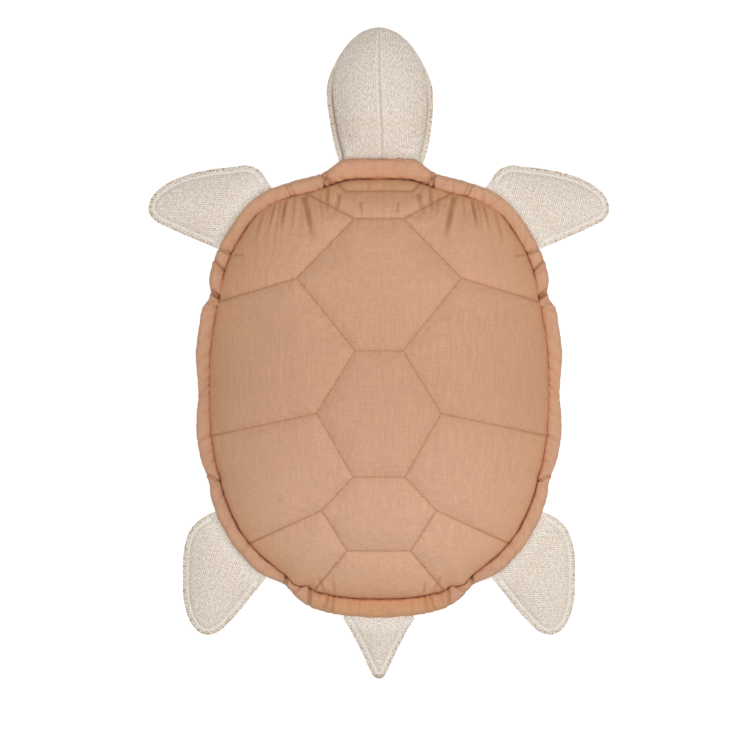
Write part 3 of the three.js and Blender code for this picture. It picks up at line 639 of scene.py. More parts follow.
def make_quilted_top(context):
    plan = ShellPlan(context.scene.cushion_shell)
    bearings = plan.groove_bearings(2.5)[::-1]
    edge = on_bearing(bearings, plan.groove(bearings))
    layout = Layout()
    ring = [layout.add(point) for point in edge]
    sewn = set(ring)
    paths = [even_points(np.array(line), 2.3) for line in plan.lines]
    for path in paths:
        sewn.update(layout.line(path))
    for inset in ROWS_ALONG_EDGE:
        spacing = max(1, round(inset / 3))
        row = bearings[::spacing]
        layout.fill(on_bearing(row, plan.groove(row) - inset), min(1.6, 0.35 + inset / 3))
    for away in ROWS_ALONG_QUILTING:
        for path in paths:
            for side in (1, -1):
                beside = path[1:-1] + side * away * normals_of_path(path)[1:-1]
                apart = distance_to_path(beside, plan.lines) > away - 0.4
                layout.fill(beside[apart & (plan.inset(beside) > 6)], 1.8)
    folds = [np.array(fold[:2]) * (side, 1) for fold in QUILT_FOLDS for side in (1, -1)]
    fine = grid_of_points(edge, FOLD_STEP)
    fine = fine[(distance_to_path(fine, folds) < 7) & (plan.inset(fine) > 2.5)]
    layout.fill(fine[distance_to_path(fine, plan.lines) > 1.2], 1.5)
    grid = grid_of_points(edge, CLOTH_STEP)
    grid = grid[plan.inset(grid) > 9]
    layout.fill(grid[distance_to_path(grid, plan.lines) > 6.4], 2.9)
    faces = layout.triangles(ring)
    flat = np.array(layout.points)
    inset = np.maximum(plan.inset(flat), 0)
    outwards = flat * (1 + wall_bulge(inset) / np.maximum(np.hypot(*flat.T), 1))[:, None]
    top = np.column_stack([outwards, quilt_heights(plan, flat)])

    # The cloth swells over a flat base that is left out of the finished mesh.
    count = len(top)
    base = [(ring[(i + 1) % len(ring)], ring[i], count) for i in range(len(ring))]
    trial = mesh_object("quilt_trial", np.vstack([top, [(0, 0, SEAM_HEIGHT)]]), [*faces, *base])
    pinned = np.zeros(count + 1, bool)
    pinned[list(sewn)] = True
    pinned[:count] |= inset < 1.5
    pinned[count] = True
    swell(trial, pinned, slack=0.012, cap=5)
    top = coordinates(trial.data)[:count]
    bpy.data.objects.remove(trial)

    # Closed underneath by the backing, which the stuffing holds up.
    inner_top = plan.crown - QUILT_THICKNESS
    groove = plan.groove(bearings)
    sections = [(groove, SEAT), (groove - QUILT_EDGE_WIDTH, SEAT)]
    for share in INNER_RINGS:
        sections.append(((groove - QUILT_EDGE_WIDTH) * share, dome_height(share, inner_top, SEAT)))
    below, rings = stacked_rings(bearings, sections, count)
    under = ring_faces([list(reversed(r)) for r in [ring, *rings]])
    under += cap_faces(rings[-1], below[-len(bearings):, :2])
    obj = mesh_object("shell_quilt", np.vstack([top, below]), [*faces, *under])
    subdivide(obj)
    final = coordinates(obj.data)
    normals = np.empty(len(final) * 3)
    obj.data.vertices.foreach_get("normal", normals)
    normals = normals.reshape(-1, 3)
    outside = (normals[:, 2] > 0) & (final[:, 2] > QUILT_EDGE_TOP)
    lift, valley = quilt_folds(plan, final[:, :2])
    final += normals * (lift * outside)[:, None]
    move_points(obj.data, final)
    # Painted shade: the seam share darkens the cloth along the quilting lines, more so near the groove, in the
    # folds and in the groove's dark line; the groove share paints shade and bounce light where the quilt meets
    # the rim, and the edge shade share darkens the dome's steep edge.
    away = distance_to_path(final[:, :2], plan.lines)
    inside = plan.inset(final)
    near_groove = fall(inside, 25)
    seam = bell(away, 1.3 + 0.5 * near_groove) * (0.7 + 0.8 * near_groove)
    dark = 1.7 * plan.dark_groove(bearing_of(final)) * bell(inside, 1.1)
    seam = np.maximum(np.maximum(seam, 1.4 * valley), dark)
    mark(obj, seam=seam, groove=fall(inside, 2.2), slope=fall(inside, 26))
    finish_piece(obj, quilted_cotton(context.scene.cushion_finish))
    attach(obj, "shell")
    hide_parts("quilted_top")


# Rim and neck band

def limb_spans(plan):
    """Bearings between which each limb's raw end lies under the rim."""
    spans = []
    for limb in all_limbs(plan):
        ends = [limb.outline[0][0], limb.outline[-1][0]]
        corners = [(x, y, 0) for x in ends for y in (0, -TAB_DEPTH)]
        world = limb.place(np.array(corners, float), droop=False)
        turned = (bearing_of(world) - limb.bearing + 180) % 360 - 180
        spans.append((limb.bearing + turned.min(), limb.bearing + turned.max()))
    return spans


def root_room(bearing, spans):
    """1 where a limb's raw end lies under the rim, and 0 away from it."""
    room = np.zeros(len(bearing))
    for low, high in spans:
        half = (high - low) / 2
        away = ShellPlan.side(bearing - (low + high) / 2)
        room = np.maximum(room, 1 - smoothstep(away, half - 0.3, half + 0.5))
    return room


def rim_creases(side, across):
    """Depth of the creases at a bearing and at a share of the way across the rim, -1 inside to 1 outside."""
    depth = np.zeros(np.broadcast(side, across).shape)
    for at, deep, reach, slant in RIM_CREASES:
        away = (side - at - slant * across) / (0.8 * reach)
        depth += deep * (bell(away, 1) - 0.35 * bell(away - 1.9, 1.1))
    for low, middle in BAND_FOLDS:
        line = -1 + (middle + 1) * (side - low) / (BAND_END - low)
        inside = smoothstep(side, low - 0.8, low + 1.2) * (side < BAND_END)
        depth += 1.5 * bell(across - line, 0.16) * inside
    return 1.3 * depth


def roll_points(plan, bearing, spans):
    """Rings of points round a length of the rim, one for each bearing."""
    inside = plan.groove(bearing) + GROOVE_GAP
    outside = plan.rim(bearing)
    middle = (inside + outside) / 2
    half = (outside - inside) / 2
    rise = plan.rim_height + BAND_EXTRA_HEIGHT * plan.band(bearing) - 0.5 * plan.tuck(bearing)
    lift = 3 * root_room(bearing, spans)
    side = plan.side(bearing)
    overhang = 1 - 0.6 * plan.dark_groove(bearing)
    rings = []
    for angle in np.linspace(0, math.pi, 17):
        squareness = 0.75 if angle < math.pi / 2 else 0.34
        across = np.sign(math.cos(angle)) * abs(math.cos(angle)) ** squareness
        height = 0.2 + 0.8 * math.sin(angle)
        crease = rim_creases(side, across) * (0.55 + 0.45 * math.sin(angle))
        flat = on_bearing(bearing, middle + half * across)
        spot = np.column_stack([np.abs(flat[:, 0]), flat[:, 1], np.full(len(flat), 30 * height)])
        lumps = ripple(spot, (16, 16, 12), 3) * 1.4 + ripple(spot, (6, 6, 9), 4) * 0.6
        puckers = ripple(spot, (3.6, 3.6, 14), 5) * (0.7 if across < 0 else 0.25) * (1.2 - math.sin(angle))
        dent = np.minimum(crease / (half + rise / 2) * 1.5, 0.55)
        full = 1 - dent + (lumps + puckers) / 13
        over = RIM_OVERHANG * overhang * max(-across, 0) * smoothstep(height, 0.3, 0.75)
        level = SEAT + lift * (1 - height) + rise * height * full
        rings.append((middle + half * across * full - over, level))
    for across, height in ((-0.97, 0.1), (-0.8, 0), (0, 0), (0.8, 0), (0.97, 0.1)):
        rings.append((middle + half * across, SEAT + lift + rise * height))
    flat = [np.column_stack([on_bearing(bearing, radius), height]) for radius, height in rings]
    return np.stack(flat, axis=1)


def make_roll(name, plan, first, last, spans, node, context):
    """A length of the padded roll between two bearings, closed at its ends."""
    count = round((last - first) / 0.3)
    even = np.linspace(first, last, count + 1)
    bearing = np.concatenate([[first, first + 0.06], even[1:-1], [last - 0.06, last]])
    sections = roll_points(plan, bearing, spans)
    size = sections.shape[1]
    points = sections.reshape(-1, 3)
    rings = [list(range(i * size, (i + 1) * size)) for i in range(len(sections))]
    caps = np.stack([sections[0].mean(axis=0), sections[-1].mean(axis=0)])
    faces = ring_faces(rings, closed_start=len(points), closed_end=len(points) + 1)
    obj = mesh_object(name, np.vstack([points, caps]), faces)
    subdivide(obj)
    final = coordinates(obj.data)
    turned = bearing_of(final)
    side = plan.side(turned)
    outwards = -plan.inset(final)
    width = plan.rim(turned) - plan.groove(turned)
    # Painted shade: the seam share darkens the rim's creases and the groove's dark line, the groove share
    # paints shade and bounce light on the rim's inner side, wider at the rear and on the neck band, and the
    # edge shade share darkens the rim's rear end.
    valley = rim_creases(side, 2 * outwards / width - 1)
    dark = 1.5 * plan.dark_groove(turned) * bell(np.maximum(outwards, 0), 1)
    reach = 1.5 + 4.5 * smoothstep(side, 160, 167) + 5 * plan.band(turned)
    seam = np.maximum(np.clip(valley / 4, 0, 0.8), dark)
    mark(obj, seam=seam, groove=fall(outwards + 1, reach), slope=smoothstep(side, 158, 167))
    finish_piece(obj, rim_cotton(context.scene.cushion_finish))
    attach(obj, "shell")
    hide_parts(node)


def make_rim(context):
    plan = ShellPlan(context.scene.cushion_shell)
    spans = limb_spans(plan)
    make_roll("shell_rim", plan, BAND_END + 0.03, 360 - BAND_END - 0.03, spans, "rim_roll", context)
    make_roll("shell_neck_band", plan, -BAND_END, BAND_END, spans, "neck_band", context)


# Belly

def make_belly(context):
    """The belly panel, its level sewn edge and the stuffing above it, as one closed form."""
    plan = ShellPlan(context.scene.cushion_shell)
    bearings = np.arange(0, 360, 1.5)[::-1]
    groove = plan.groove(bearings)
    sections = []
    for share in BELLY_RINGS:
        climb = max(0, share - BELLY_FLAT_SHARE) / (1 - BELLY_FLAT_SHARE)
        spot = np.column_stack([on_bearing(bearings, groove * share), np.zeros(len(bearings))])
        gathers = ripple(spot, (9, 9, 9), 6) * 1.5 * climb * (1 - 0.7 * climb)
        sections.append((groove * share, SEAM_HEIGHT * climb ** 2 + gathers))
    edge = plan.rim(bearings) - BELLY_EDGE_INSET
    sections += [(edge - 1, SEAM_HEIGHT), (edge, SEAM_HEIGHT + 0.5 * CLOTH)]
    sections += [(edge - 1, SEAM_HEIGHT + CLOTH), (groove, SEAM_HEIGHT + CLOTH)]
    top = plan.crown - QUILT_THICKNESS - BACKING_GAP
    filling = groove - QUILT_EDGE_WIDTH - FILLING_GAP
    for share in (1, *INNER_RINGS):
        sections.append((filling * share, dome_height(share, top, SEAT)))
    points, rings = stacked_rings(bearings, sections)
    poles = [(0, 0, 0), (0, 0, dome_height(0.0, top, SEAT))]
    faces = ring_faces(rings, closed_start=len(points), closed_end=len(points) + 1)
    obj = mesh_object("shell_belly", np.vstack([points, poles]), faces)
    subdivide(obj)
    final = coordinates(obj.data)
    plain = np.zeros(len(final))
    # Painted shade: the belly is darker and redder where it runs in under the rim.
    under_rim = fall(np.abs(plan.inset(final)), 5) * (final[:, 2] > 10)
    mark(obj, seam=plain, groove=under_rim, slope=plain)
    finish_piece(obj, belly_cotton(context.scene.cushion_finish))
    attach(obj, "shell")
    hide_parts("belly_panel", "body_filling")


# Limbs

class Limb:
    """One stuffed limb: its outline in its own plan and its place at the rim."""

    def __init__(self, plan, name, bearing, outline, sizes, mirror=1):
        self.name = name
        self.is_head = name == "head"
        self.is_tail = name == "tail"
        self.bearing = bearing
        self.length = sizes["length"]
        self.outline = np.array(outline) * (mirror * sizes["root_width"], self.length)
        self.hem = sizes["hem"]
        self.top_swell, self.under_swell = sizes["swells"]
        self.neck = sizes["neck"]
        a, b = (on_bearing(at, plan.outline(at)) for at in (bearing - FACING_STEP, bearing + FACING_STEP))
        self.facing = math.atan2(b[1] - a[1], b[0] - a[0])
        outwards = np.array([-math.sin(self.facing), math.cos(self.facing)])
        reach = HINGE_STANDOFF + BAND_REACH * float(plan.band(bearing))
        hinge = on_bearing(bearing, plan.outline(bearing)) + outwards * reach
        self.hinge = np.array([*hinge, HINGE_HEIGHT])
        self.outwards = np.array([*outwards, 0])
        room = HINGE_HEIGHT - ROOT_THICKNESS - FLOOR_GAP
        at_belly = (room - self.under_swell) / (sizes["deepest"] * self.length)
        self.droop = math.asin(max(0, min(room / self.length, at_belly)))

    def place(self, points, droop=True):
        """Points of the limb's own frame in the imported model's frame, in millimetres."""
        tilt = Matrix.Rotation(-self.droop if droop else 0, 3, "X")
        turn = np.array(Matrix.Rotation(self.facing, 3, "Z") @ tilt)
        return points @ turn.T + self.hinge

    def hem_width(self, y):
        """Width of the flat hem at a distance from the root: the head's runs out to the nose."""
        if self.is_head:
            return self.hem - (self.hem - 1.3) * smoothstep(y, 0.5 * self.length, 0.8 * self.length)
        return np.full(np.shape(y), float(self.hem))

    def lean(self, y):
        """How far the limb leans to the right at a distance from its root: only the neck does."""
        return HEAD_LEAN * (1 - smoothstep(y, 8, 105)) * self.is_head

    def weave_places(self, flat):
        """Places in the cloth, with its warp along the second axis: a tail's cloth meets in a herringbone."""
        x = np.abs(flat[:, 0]) if self.is_tail else flat[:, 0]
        turn = math.radians(0 if self.is_head else 38 if self.is_tail else 80)
        across = x * math.cos(turn) - flat[:, 1] * math.sin(turn)
        along = x * math.sin(turn) + flat[:, 1] * math.cos(turn)
        return np.column_stack([across, along]) * (1 if self.is_head or self.is_tail else 1.03)


def both_halves(half):
    """An outline from its right half, which ends on the middle."""
    return half + [(-x, y) for x, y in reversed(half[:-1])]


def all_limbs(plan):
    limbs = [Limb(plan, "head", 0, both_halves(HALF_HEAD_OUTLINE), HEAD_SIZES)]
    ends = (
        ("front", FRONT_FLIPPER_BEARING, FRONT_FLIPPER_OUTLINE),
        ("rear", REAR_FLIPPER_BEARING, REAR_FLIPPER_OUTLINE),
    )
    for side, mirror in (("left", 1), ("right", -1)):
        for end, bearing, outline in ends:
            name = f"{end}_{side}_flipper"
            limbs.append(Limb(plan, name, -bearing * mirror, outline, FLIPPER_SIZES, mirror))
    limbs.append(Limb(plan, "tail", 180, both_halves(HALF_TAIL_OUTLINE), TAIL_SIZES))
    return limbs


def puffed(flat, faces, sewn):
    """Height, from 0 to 1, of a skin blown up over the layout and held down at the sewn points."""
    edges = np.vstack([faces[:, [0, 1]], faces[:, [1, 2]], faces[:, [2, 0]]])
    edges = np.unique(np.sort(edges, axis=1), axis=0)
    a, b = edges.T
    count = np.bincount(a, minlength=len(flat)) + np.bincount(b, minlength=len(flat))
    height = np.zeros(len(flat))
    for _ in range(1500):
        total = np.bincount(a, height[b], len(flat)) + np.bincount(b, height[a], len(flat))
        height = total / np.maximum(count, 1) + 1
        height[sewn] = 0
    return np.sqrt(height / height.max())


def ridge_share(flat, free, limb):
    """1 on the ridge that a turned seam makes just outside the hem's stitches, and 0 away from it."""
    away = distance_to_path(flat, [free]) - (limb.hem_width(flat[:, 1]) - RIDGE_FROM_STITCHES)
    return bell(away, RIDGE_WIDTH) * (flat[:, 1] > 0.5)


class LimbCloth:
    """The flat cut of a limb's two cloths: edge, stitches and the triangles between them."""

    def __init__(self, limb):
        self.limb = limb
        free = even_points(smooth_curve(limb.outline, 240), 2)
        self.free = free if free[0][0] > free[-1][0] else free[::-1]
        self.edge = np.vstack([self.free, self.raw_end()])
        stitch = self.free + normals_of_path(self.free) * limb.hem_width(self.free[:, 1])[:, None]
        self.stitch = even_points(stitch[stitch[:, 1] > 0.5], 2)
        last, first = self.stitch[-1], self.stitch[0]
        under_rim = np.array([last, (last[0], -SWELL_START), (first[0], -SWELL_START), first])
        self.closed = np.vstack([self.stitch, even_points(under_rim, 2.5)[1:]])
        self.layout = Layout()
        self.ring = [self.layout.add(point) for point in self.edge]
        self.sewn = self.layout.line(self.closed)
        self.fill()
        self.faces = self.layout.triangles(self.ring)
        self.flat = np.array(self.layout.points)

    def raw_end(self):
        """Points round the raw end that lies in the shell's seam."""
        right, left = self.free[0], self.free[-1]
        corners = [left, (left[0] * TAB_TAPER, -TAB_DEPTH), (right[0] * TAB_TAPER, -TAB_DEPTH), right]
        return even_points(np.array(corners), 3)[1:-1]

    def fill(self):
        """Rows beside the seams, and an even grid over the rest."""
        layout, stitch, edge = self.layout, self.stitch, self.edge
        middle = np.array([(0.0, 0.0), (0.0, stitch[:, 1].max() - 1)])
        if self.limb.is_head:
            layout.line(even_points(middle, 2.5)[1:])
        for away in (0.9, 2.2, 4):
            inner = stitch + normals_of_path(stitch) * away
            layout.fill(inner[is_inside(inner, self.closed)], min(0.8 + away / 4, 1.6))
        for away in (1, 2.2):
            outer = stitch - normals_of_path(stitch) * away
            clear = distance_to_path(outer, [self.free]) > 0.9
            layout.fill(outer[clear & is_inside(outer, edge)], 0.8)
        if self.limb.is_head:
            for x in (-1.2, -3, 1.2, 3):
                row = even_points(middle + (x, 0), 2.5)
                layout.fill(row[is_inside(row, self.closed)], 1.1)
        grid = grid_of_points(edge, LIMB_STEP)
        grid = grid[is_inside(grid, edge)]
        layout.fill(grid[self.from_edge(grid) > 1.4], 1.9)

    def from_edge(self, points):
        return distance_to_path(points, [np.vstack([self.edge, self.edge[:1]])])

    def swollen(self):
        """Whether each point lies within the stitches, where the stuffing is."""
        inside = is_inside(self.flat, self.closed[:-1])
        inside[self.sewn] = False
        return inside

    def heights(self):
        """Heights of the upper and the lower cloth over the limb's plane."""
        limb, flat = self.limb, self.flat
        from_root = flat[:, 1]
        swollen = self.swollen()
        between = (flat[:, 0] > self.stitch[:, 0].min()) & (flat[:, 0] < self.stitch[:, 0].max())
        in_root = (from_root < 0.01) & (from_root > 1 - TAB_DEPTH) & between
        shape = puffed(flat, self.faces, ~(swollen | in_root))
        full = np.clip((from_root + SWELL_START) / (limb.neck + SWELL_START), 0, 1)
        above = shape * np.where(swollen, full ** (0.3 if limb.is_head else 0.4), 0)
        below = shape * np.where(swollen, np.clip(from_root / limb.neck, 0, 1) ** 0.45, 0)
        above /= above.max()
        below /= below.max()
        half = ROOT_THICKNESS / 2
        wave = ripple(np.column_stack([flat, np.zeros(len(flat))]), (17, 17, 17), 7 + len(limb.name))
        wavy = wave * 0.9 * smoothstep(from_root, 4, 25) * ~swollen
        upper = above * (limb.top_swell - 0.5) + wavy - half + (half - 0.25)
        lower = -below * (limb.under_swell - 0.5) + wavy - half - (half - 0.25)
        pinched = EDGE_PINCH * ((self.from_edge(flat) < 0.1) & (from_root > 0))
        upper -= pinched
        lower += pinched
        if limb.is_head:
            beside = np.abs(flat[:, 0])
            seam = 1.2 * bell(beside - 2.8, 1.8) - 1.6 * bell(beside, 0.9)
            upper += seam * smoothstep(above, 0.15, 0.6)
        else:
            upper += RIDGE_HEIGHT * ridge_share(flat, self.free, limb) * smoothstep(from_root, 1, 5)
        return upper, lower

    def held(self):
        """Whether each point of the upper and then the lower cloth stays while the limb swells."""
        held = ~self.swollen() | (self.flat[:, 1] < 0.5)
        on_middle = (np.abs(self.flat[:, 0]) < 0.3) & (self.flat[:, 1] > 0) & self.limb.is_head
        return np.concatenate([held | on_middle, held])

    def mark(self, obj):
        """Where the finished cover has its painted shade in seams and creases, its hem, its painted highlights
        on the ridges and its painted light beside the root.
        """
        limb = self.limb
        turn = limb.place(np.eye(3)) - limb.place(np.zeros((1, 3)))
        flat = ((coordinates(obj.data) - limb.hinge) @ turn.T)[:, :2]
        flat[:, 0] -= limb.lean(flat[:, 1])
        x, from_root = flat.T
        hem = limb.hem_width(from_root)
        near_neck = 1 - 0.7 * smoothstep(from_root, 55, 85)
        # Painted shade: the crease along the stitches is darkened, most on the left of the head's neck, which
        # is turned from the light.
        shade_weight = np.where(x < 0, 1.7, 0.8) * near_neck if limb.is_head else 0.25
        crease = bell(distance_to_path(flat, [self.closed]), 1.1) * np.where(hem > 3, 1, 0.2) * shade_weight
        # Painted shade in the head's middle seam and in the gathers at the tail's tip.
        middle_seam = 0.3 * (bell(x - 0.4, 0.6) * limb.is_head)
        tip = smoothstep(from_root, limb.length - 8, limb.length - 3) * limb.is_tail
        from_free = distance_to_path(flat, [self.free])
        on_hem = (1 - smoothstep(from_free, 0.55 * hem, 0.95 * hem)) * smoothstep(hem, 1.3, 4)
        # Painted highlight on the ridges beside the stitches.
        if limb.is_head:
            ridge = 0.35 * bell(np.abs(x) - 2.6, 1.4)
        else:
            ridge = ridge_share(flat, self.free, limb)
        # Painted light beside the root, against the shade under the rim.
        root = 1 - smoothstep(from_root, 2, 34 if limb.is_head else 16)
        mark(obj, seam=np.maximum(np.maximum(crease, middle_seam), tip), hem=on_hem, ridge=ridge, root=root)


def make_limb(limb, context):
    """A stuffed cover of two cloths, sewn together inside a flat hem and into the rim's seam."""
    cloth = LimbCloth(limb)
    local = np.vstack([np.column_stack([cloth.flat, height]) for height in cloth.heights()])
    leaning = local.copy()
    leaning[:, 0] += limb.lean(leaning[:, 1])
    count = len(cloth.flat)
    wall = ring_faces([[number + count for number in cloth.ring], cloth.ring])
    faces = [*cloth.faces, *(cloth.faces[:, ::-1] + count), *wall]
    obj = mesh_object(limb.name + "_cover", limb.place(leaning), faces)
    swell(obj, cloth.held(), slack=0.01, cap=3)
    maps = obj.data.uv_layers.new(name="weave")
    loops = np.empty(len(obj.data.loops), int)
    obj.data.loops.foreach_get("vertex_index", loops)
    maps.data.foreach_set("uv", (limb.weave_places(local)[loops] * MM).ravel())
    subdivide(obj)
    cloth.mark(obj)
    finish_piece(obj, natural_weave(context.scene.cushion_finish))
    tops = ["crown_left", "crown_right"] if limb.is_head else ["top"]
    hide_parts(*[f"{limb.name}_{node}" for node in ["tab", *tops, "underside", "filling"]])
    bend(obj)
    return obj, cloth.free


def bend(obj):
    """Bake the object's transform into its mesh."""
    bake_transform(obj)


# Threads, laid along lines by a node tree

def thread_tree():
    """Small threads at even steps along a line, lying on the cloth."""
    tree = bpy.data.node_groups.get("threads")
    if tree:
        return tree
    tree = bpy.data.node_groups.new("threads", "GeometryNodeTree")
    sockets = [
        ("Line", "NodeSocketGeometry", None), ("Pitch", "NodeSocketFloat", 0.0035),
        ("Length", "NodeSocketFloat", 0.002), ("Width", "NodeSocketFloat", 0.0007),
        ("Turn", "NodeSocketFloat", 0.0), ("Uneven", "NodeSocketFloat", 0.2), ("Seed", "NodeSocketInt", 1),
        ("Thread", "NodeSocketMaterial", None),
    ]
    for name, kind, default in sockets:
        socket = tree.interface.new_socket(name, in_out="INPUT", socket_type=kind)
        if default is not None:
            socket.default_value = default
    tree.interface.new_socket("Threads", in_out="OUTPUT", socket_type="NodeSocketGeometry")

    def add(kind, inputs=(), output=0, **settings):
        node = tree.nodes.new(kind)
        for key, value in settings.items():
            setattr(node, key, value)
        for key, value in dict(inputs).items():
            if isinstance(value, bpy.types.NodeSocket):
                tree.links.new(value, node.inputs[key])
            else:
                node.inputs[key].default_value = value
        return node.outputs[output] if node.outputs else None

    given = tree.nodes.new("NodeGroupInput").outputs
    curve = add("GeometryNodeMeshToCurve", {0: given["Line"]})
    spaced = add("GeometryNodeResampleCurve", {"Curve": curve, "Length": given["Pitch"]}, mode="LENGTH")
    bead = add("GeometryNodeMeshUVSphere", {"Segments": 6, "Rings": 4, "Radius": 0.5})
    facing = add("GeometryNodeInputNamedAttribute", {"Name": "facing"}, data_type="FLOAT_VECTOR")
    tangent = add("GeometryNodeInputTangent")
    along = add("FunctionNodeAlignRotationToVector", {"Vector": tangent}, axis="X")
    upright = add("FunctionNodeAlignRotationToVector", {"Rotation": along, "Vector": facing},
                  axis="Z", pivot_axis="X")
    spin = add("FunctionNodeRandomValue", {"Seed": given["Seed"]}, 1, data_type="FLOAT")
    swing = add("ShaderNodeMath", {0: spin, 1: given["Uneven"]}, operation="MULTIPLY")
    angle = add("ShaderNodeMath", {0: given["Turn"], 1: swing}, operation="ADD")
    turn = add("FunctionNodeAxisAngleToRotation", {"Axis": (0, 0, 1), "Angle": angle})
    rotation = add("FunctionNodeRotateRotation", {"Rotation": upright, "Rotate By": turn},
                   rotation_space="LOCAL")
    size = add("ShaderNodeCombineXYZ", {"X": given["Length"], "Y": given["Width"], "Z": given["Width"]})
    low = add("ShaderNodeMath", {0: 1.0, 1: given["Uneven"]}, operation="SUBTRACT")
    share = add("FunctionNodeRandomValue", {2: low, 3: 1.0, "Seed": given["Seed"]}, 1, data_type="FLOAT")
    scale = add("ShaderNodeVectorMath", {0: size, "Scale": share}, operation="SCALE")
    placed = add("GeometryNodeInstanceOnPoints", {
        "Points": spaced, "Instance": bead, "Rotation": rotation, "Scale": scale})
    real = add("GeometryNodeRealizeInstances", {0: placed})
    dyed = add("GeometryNodeSetMaterial", {"Geometry": real, "Material": given["Thread"]})
    add("NodeGroupOutput", {0: dyed})
    return tree


def lay_threads(name, paths, normals, material, **settings):
    """Threads along several paths in millimetres, as one plain mesh."""
    mesh = bpy.data.meshes.new(name)
    edges = []
    start = 0
    for path in paths:
        edges += [(start + i, start + i + 1) for i in range(len(path) - 1)]
        start += len(path)
    mesh.from_pydata(np.vstack(paths) * MM, edges, [])
    facing = mesh.attributes.new("facing", "FLOAT_VECTOR", "POINT")
    facing.data.foreach_set("vector", np.vstack(normals).astype(np.float32).ravel())
    obj = bpy.data.objects.new(name, mesh)
    bpy.context.scene.collection.objects.link(obj)
    modifier = obj.modifiers.new("Threads", "NODES")
    tree = thread_tree()
    modifier.node_group = tree
    values = {**settings, "Thread": material}
    for item in tree.interface.items_tree:
        if item.in_out == "INPUT" and item.name in values:
            modifier[item.identifier] = values[item.name]
    laid = evaluated_mesh(obj)
    obj.modifiers.remove(modifier)
    obj.data = laid
    laid.name = name
    laid.shade_smooth()
    return obj


def surface_of(obj):
    mesh = obj.data
    return BVHTree.FromPolygons(coordinates(mesh).tolist(), [tuple(p.vertices) for p in mesh.polygons])


def surface_line(tree, path, above, down=True):
    """A flat path laid on a surface from above, or from below, with the surface's normals."""
    places, normals = [], []
    height, way = (WELL_ABOVE, Vector((0, 0, -1))) if down else (WELL_BELOW, Vector((0, 0, 1)))
    for x, y in path:
        hit, normal, *_ = tree.ray_cast(Vector((x, y, height)), way)
        if hit is not None:
            normal = normal if normal.dot(way) < 0 else -normal
            places.append(np.array(hit + normal * above))
            normals.append(np.array(normal))
    return np.array(places), np.array(normals)


def make_quilting(context):
    """Dark thread along every quilting line."""
    sizes = context.scene.cushion_shell
    quilt = surface_of(bpy.data.objects["shell_quilt"])
    lines = [surface_line(quilt, even_points(np.array(line), 2), 0.12) for line in ShellPlan(sizes).lines]
    pitch = sizes.stitch_pitch
    thread = thread_finish("quilting_thread", context.scene.cushion_finish.quilting_thread)
    obj = lay_threads("shell_quilting", *zip(*lines), thread,
                      Pitch=pitch, Length=pitch * STITCH_SHARE, **QUILTING)
    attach(obj, "shell")


def make_overlock(limb, cover, free, context):
    """Threads over the raw edge of a limb's hem."""
    edge = free[free[:, 1] > 1]
    if limb.is_head:
        sides = np.split(edge, np.flatnonzero(edge[:, 1] > HEAD_OVERLOCK_END))
        parts = [part for part in sides if len(part) > 5]
    elif limb.is_tail:
        parts = [edge[(edge[:, 1] < limb.length - 5) & side] for side in (edge[:, 0] > 0, edge[:, 0] < 0)]
    else:
        parts = [edge]
    tree = surface_of(cover)
    lines = []
    for part in parts:
        inner = part + normals_of_path(part) * 1.3
        inner[:, 0] += limb.lean(inner[:, 1])
        flat = limb.place(np.column_stack([inner, np.zeros(len(inner))]))[:, :2]
        lines += [surface_line(tree, flat, 0.1, down) for down in (True, False)]
    finish = context.scene.cushion_finish
    thread = thread_finish("overlock_thread", finish.overlock_thread, finish.fleck)
    obj = lay_threads(limb.name + "_overlock", *zip(*lines), thread, **OVERLOCK)
    bend(obj)


# Materials: maths on sockets is written as Python expressions

class Signal:
    """A shader socket that adds a Math node for each operator used on it."""

    def __init__(self, shade, socket):
        self.shade = shade
        self.socket = socket

    def beside(self, output):
        """Another output of the node that this one comes from."""
        return Signal(self.shade, self.socket.node.outputs[output])

    def maths(self, operation, a, b):
        return self.shade.node("ShaderNodeMath", {0: a, 1: b}, operation=operation)

    def __add__(self, other):
        return self.maths("ADD", self, other)

    __radd__ = __add__

    def __sub__(self, other):
        return self.maths("SUBTRACT", self, other)

    def __rsub__(self, other):
        return self.maths("SUBTRACT", other, self)

    def __mul__(self, other):
        return self.maths("MULTIPLY", self, other)

    __rmul__ = __mul__

    def cosine(self):
        return self.shade.node("ShaderNodeMath", {0: self}, operation="COSINE")


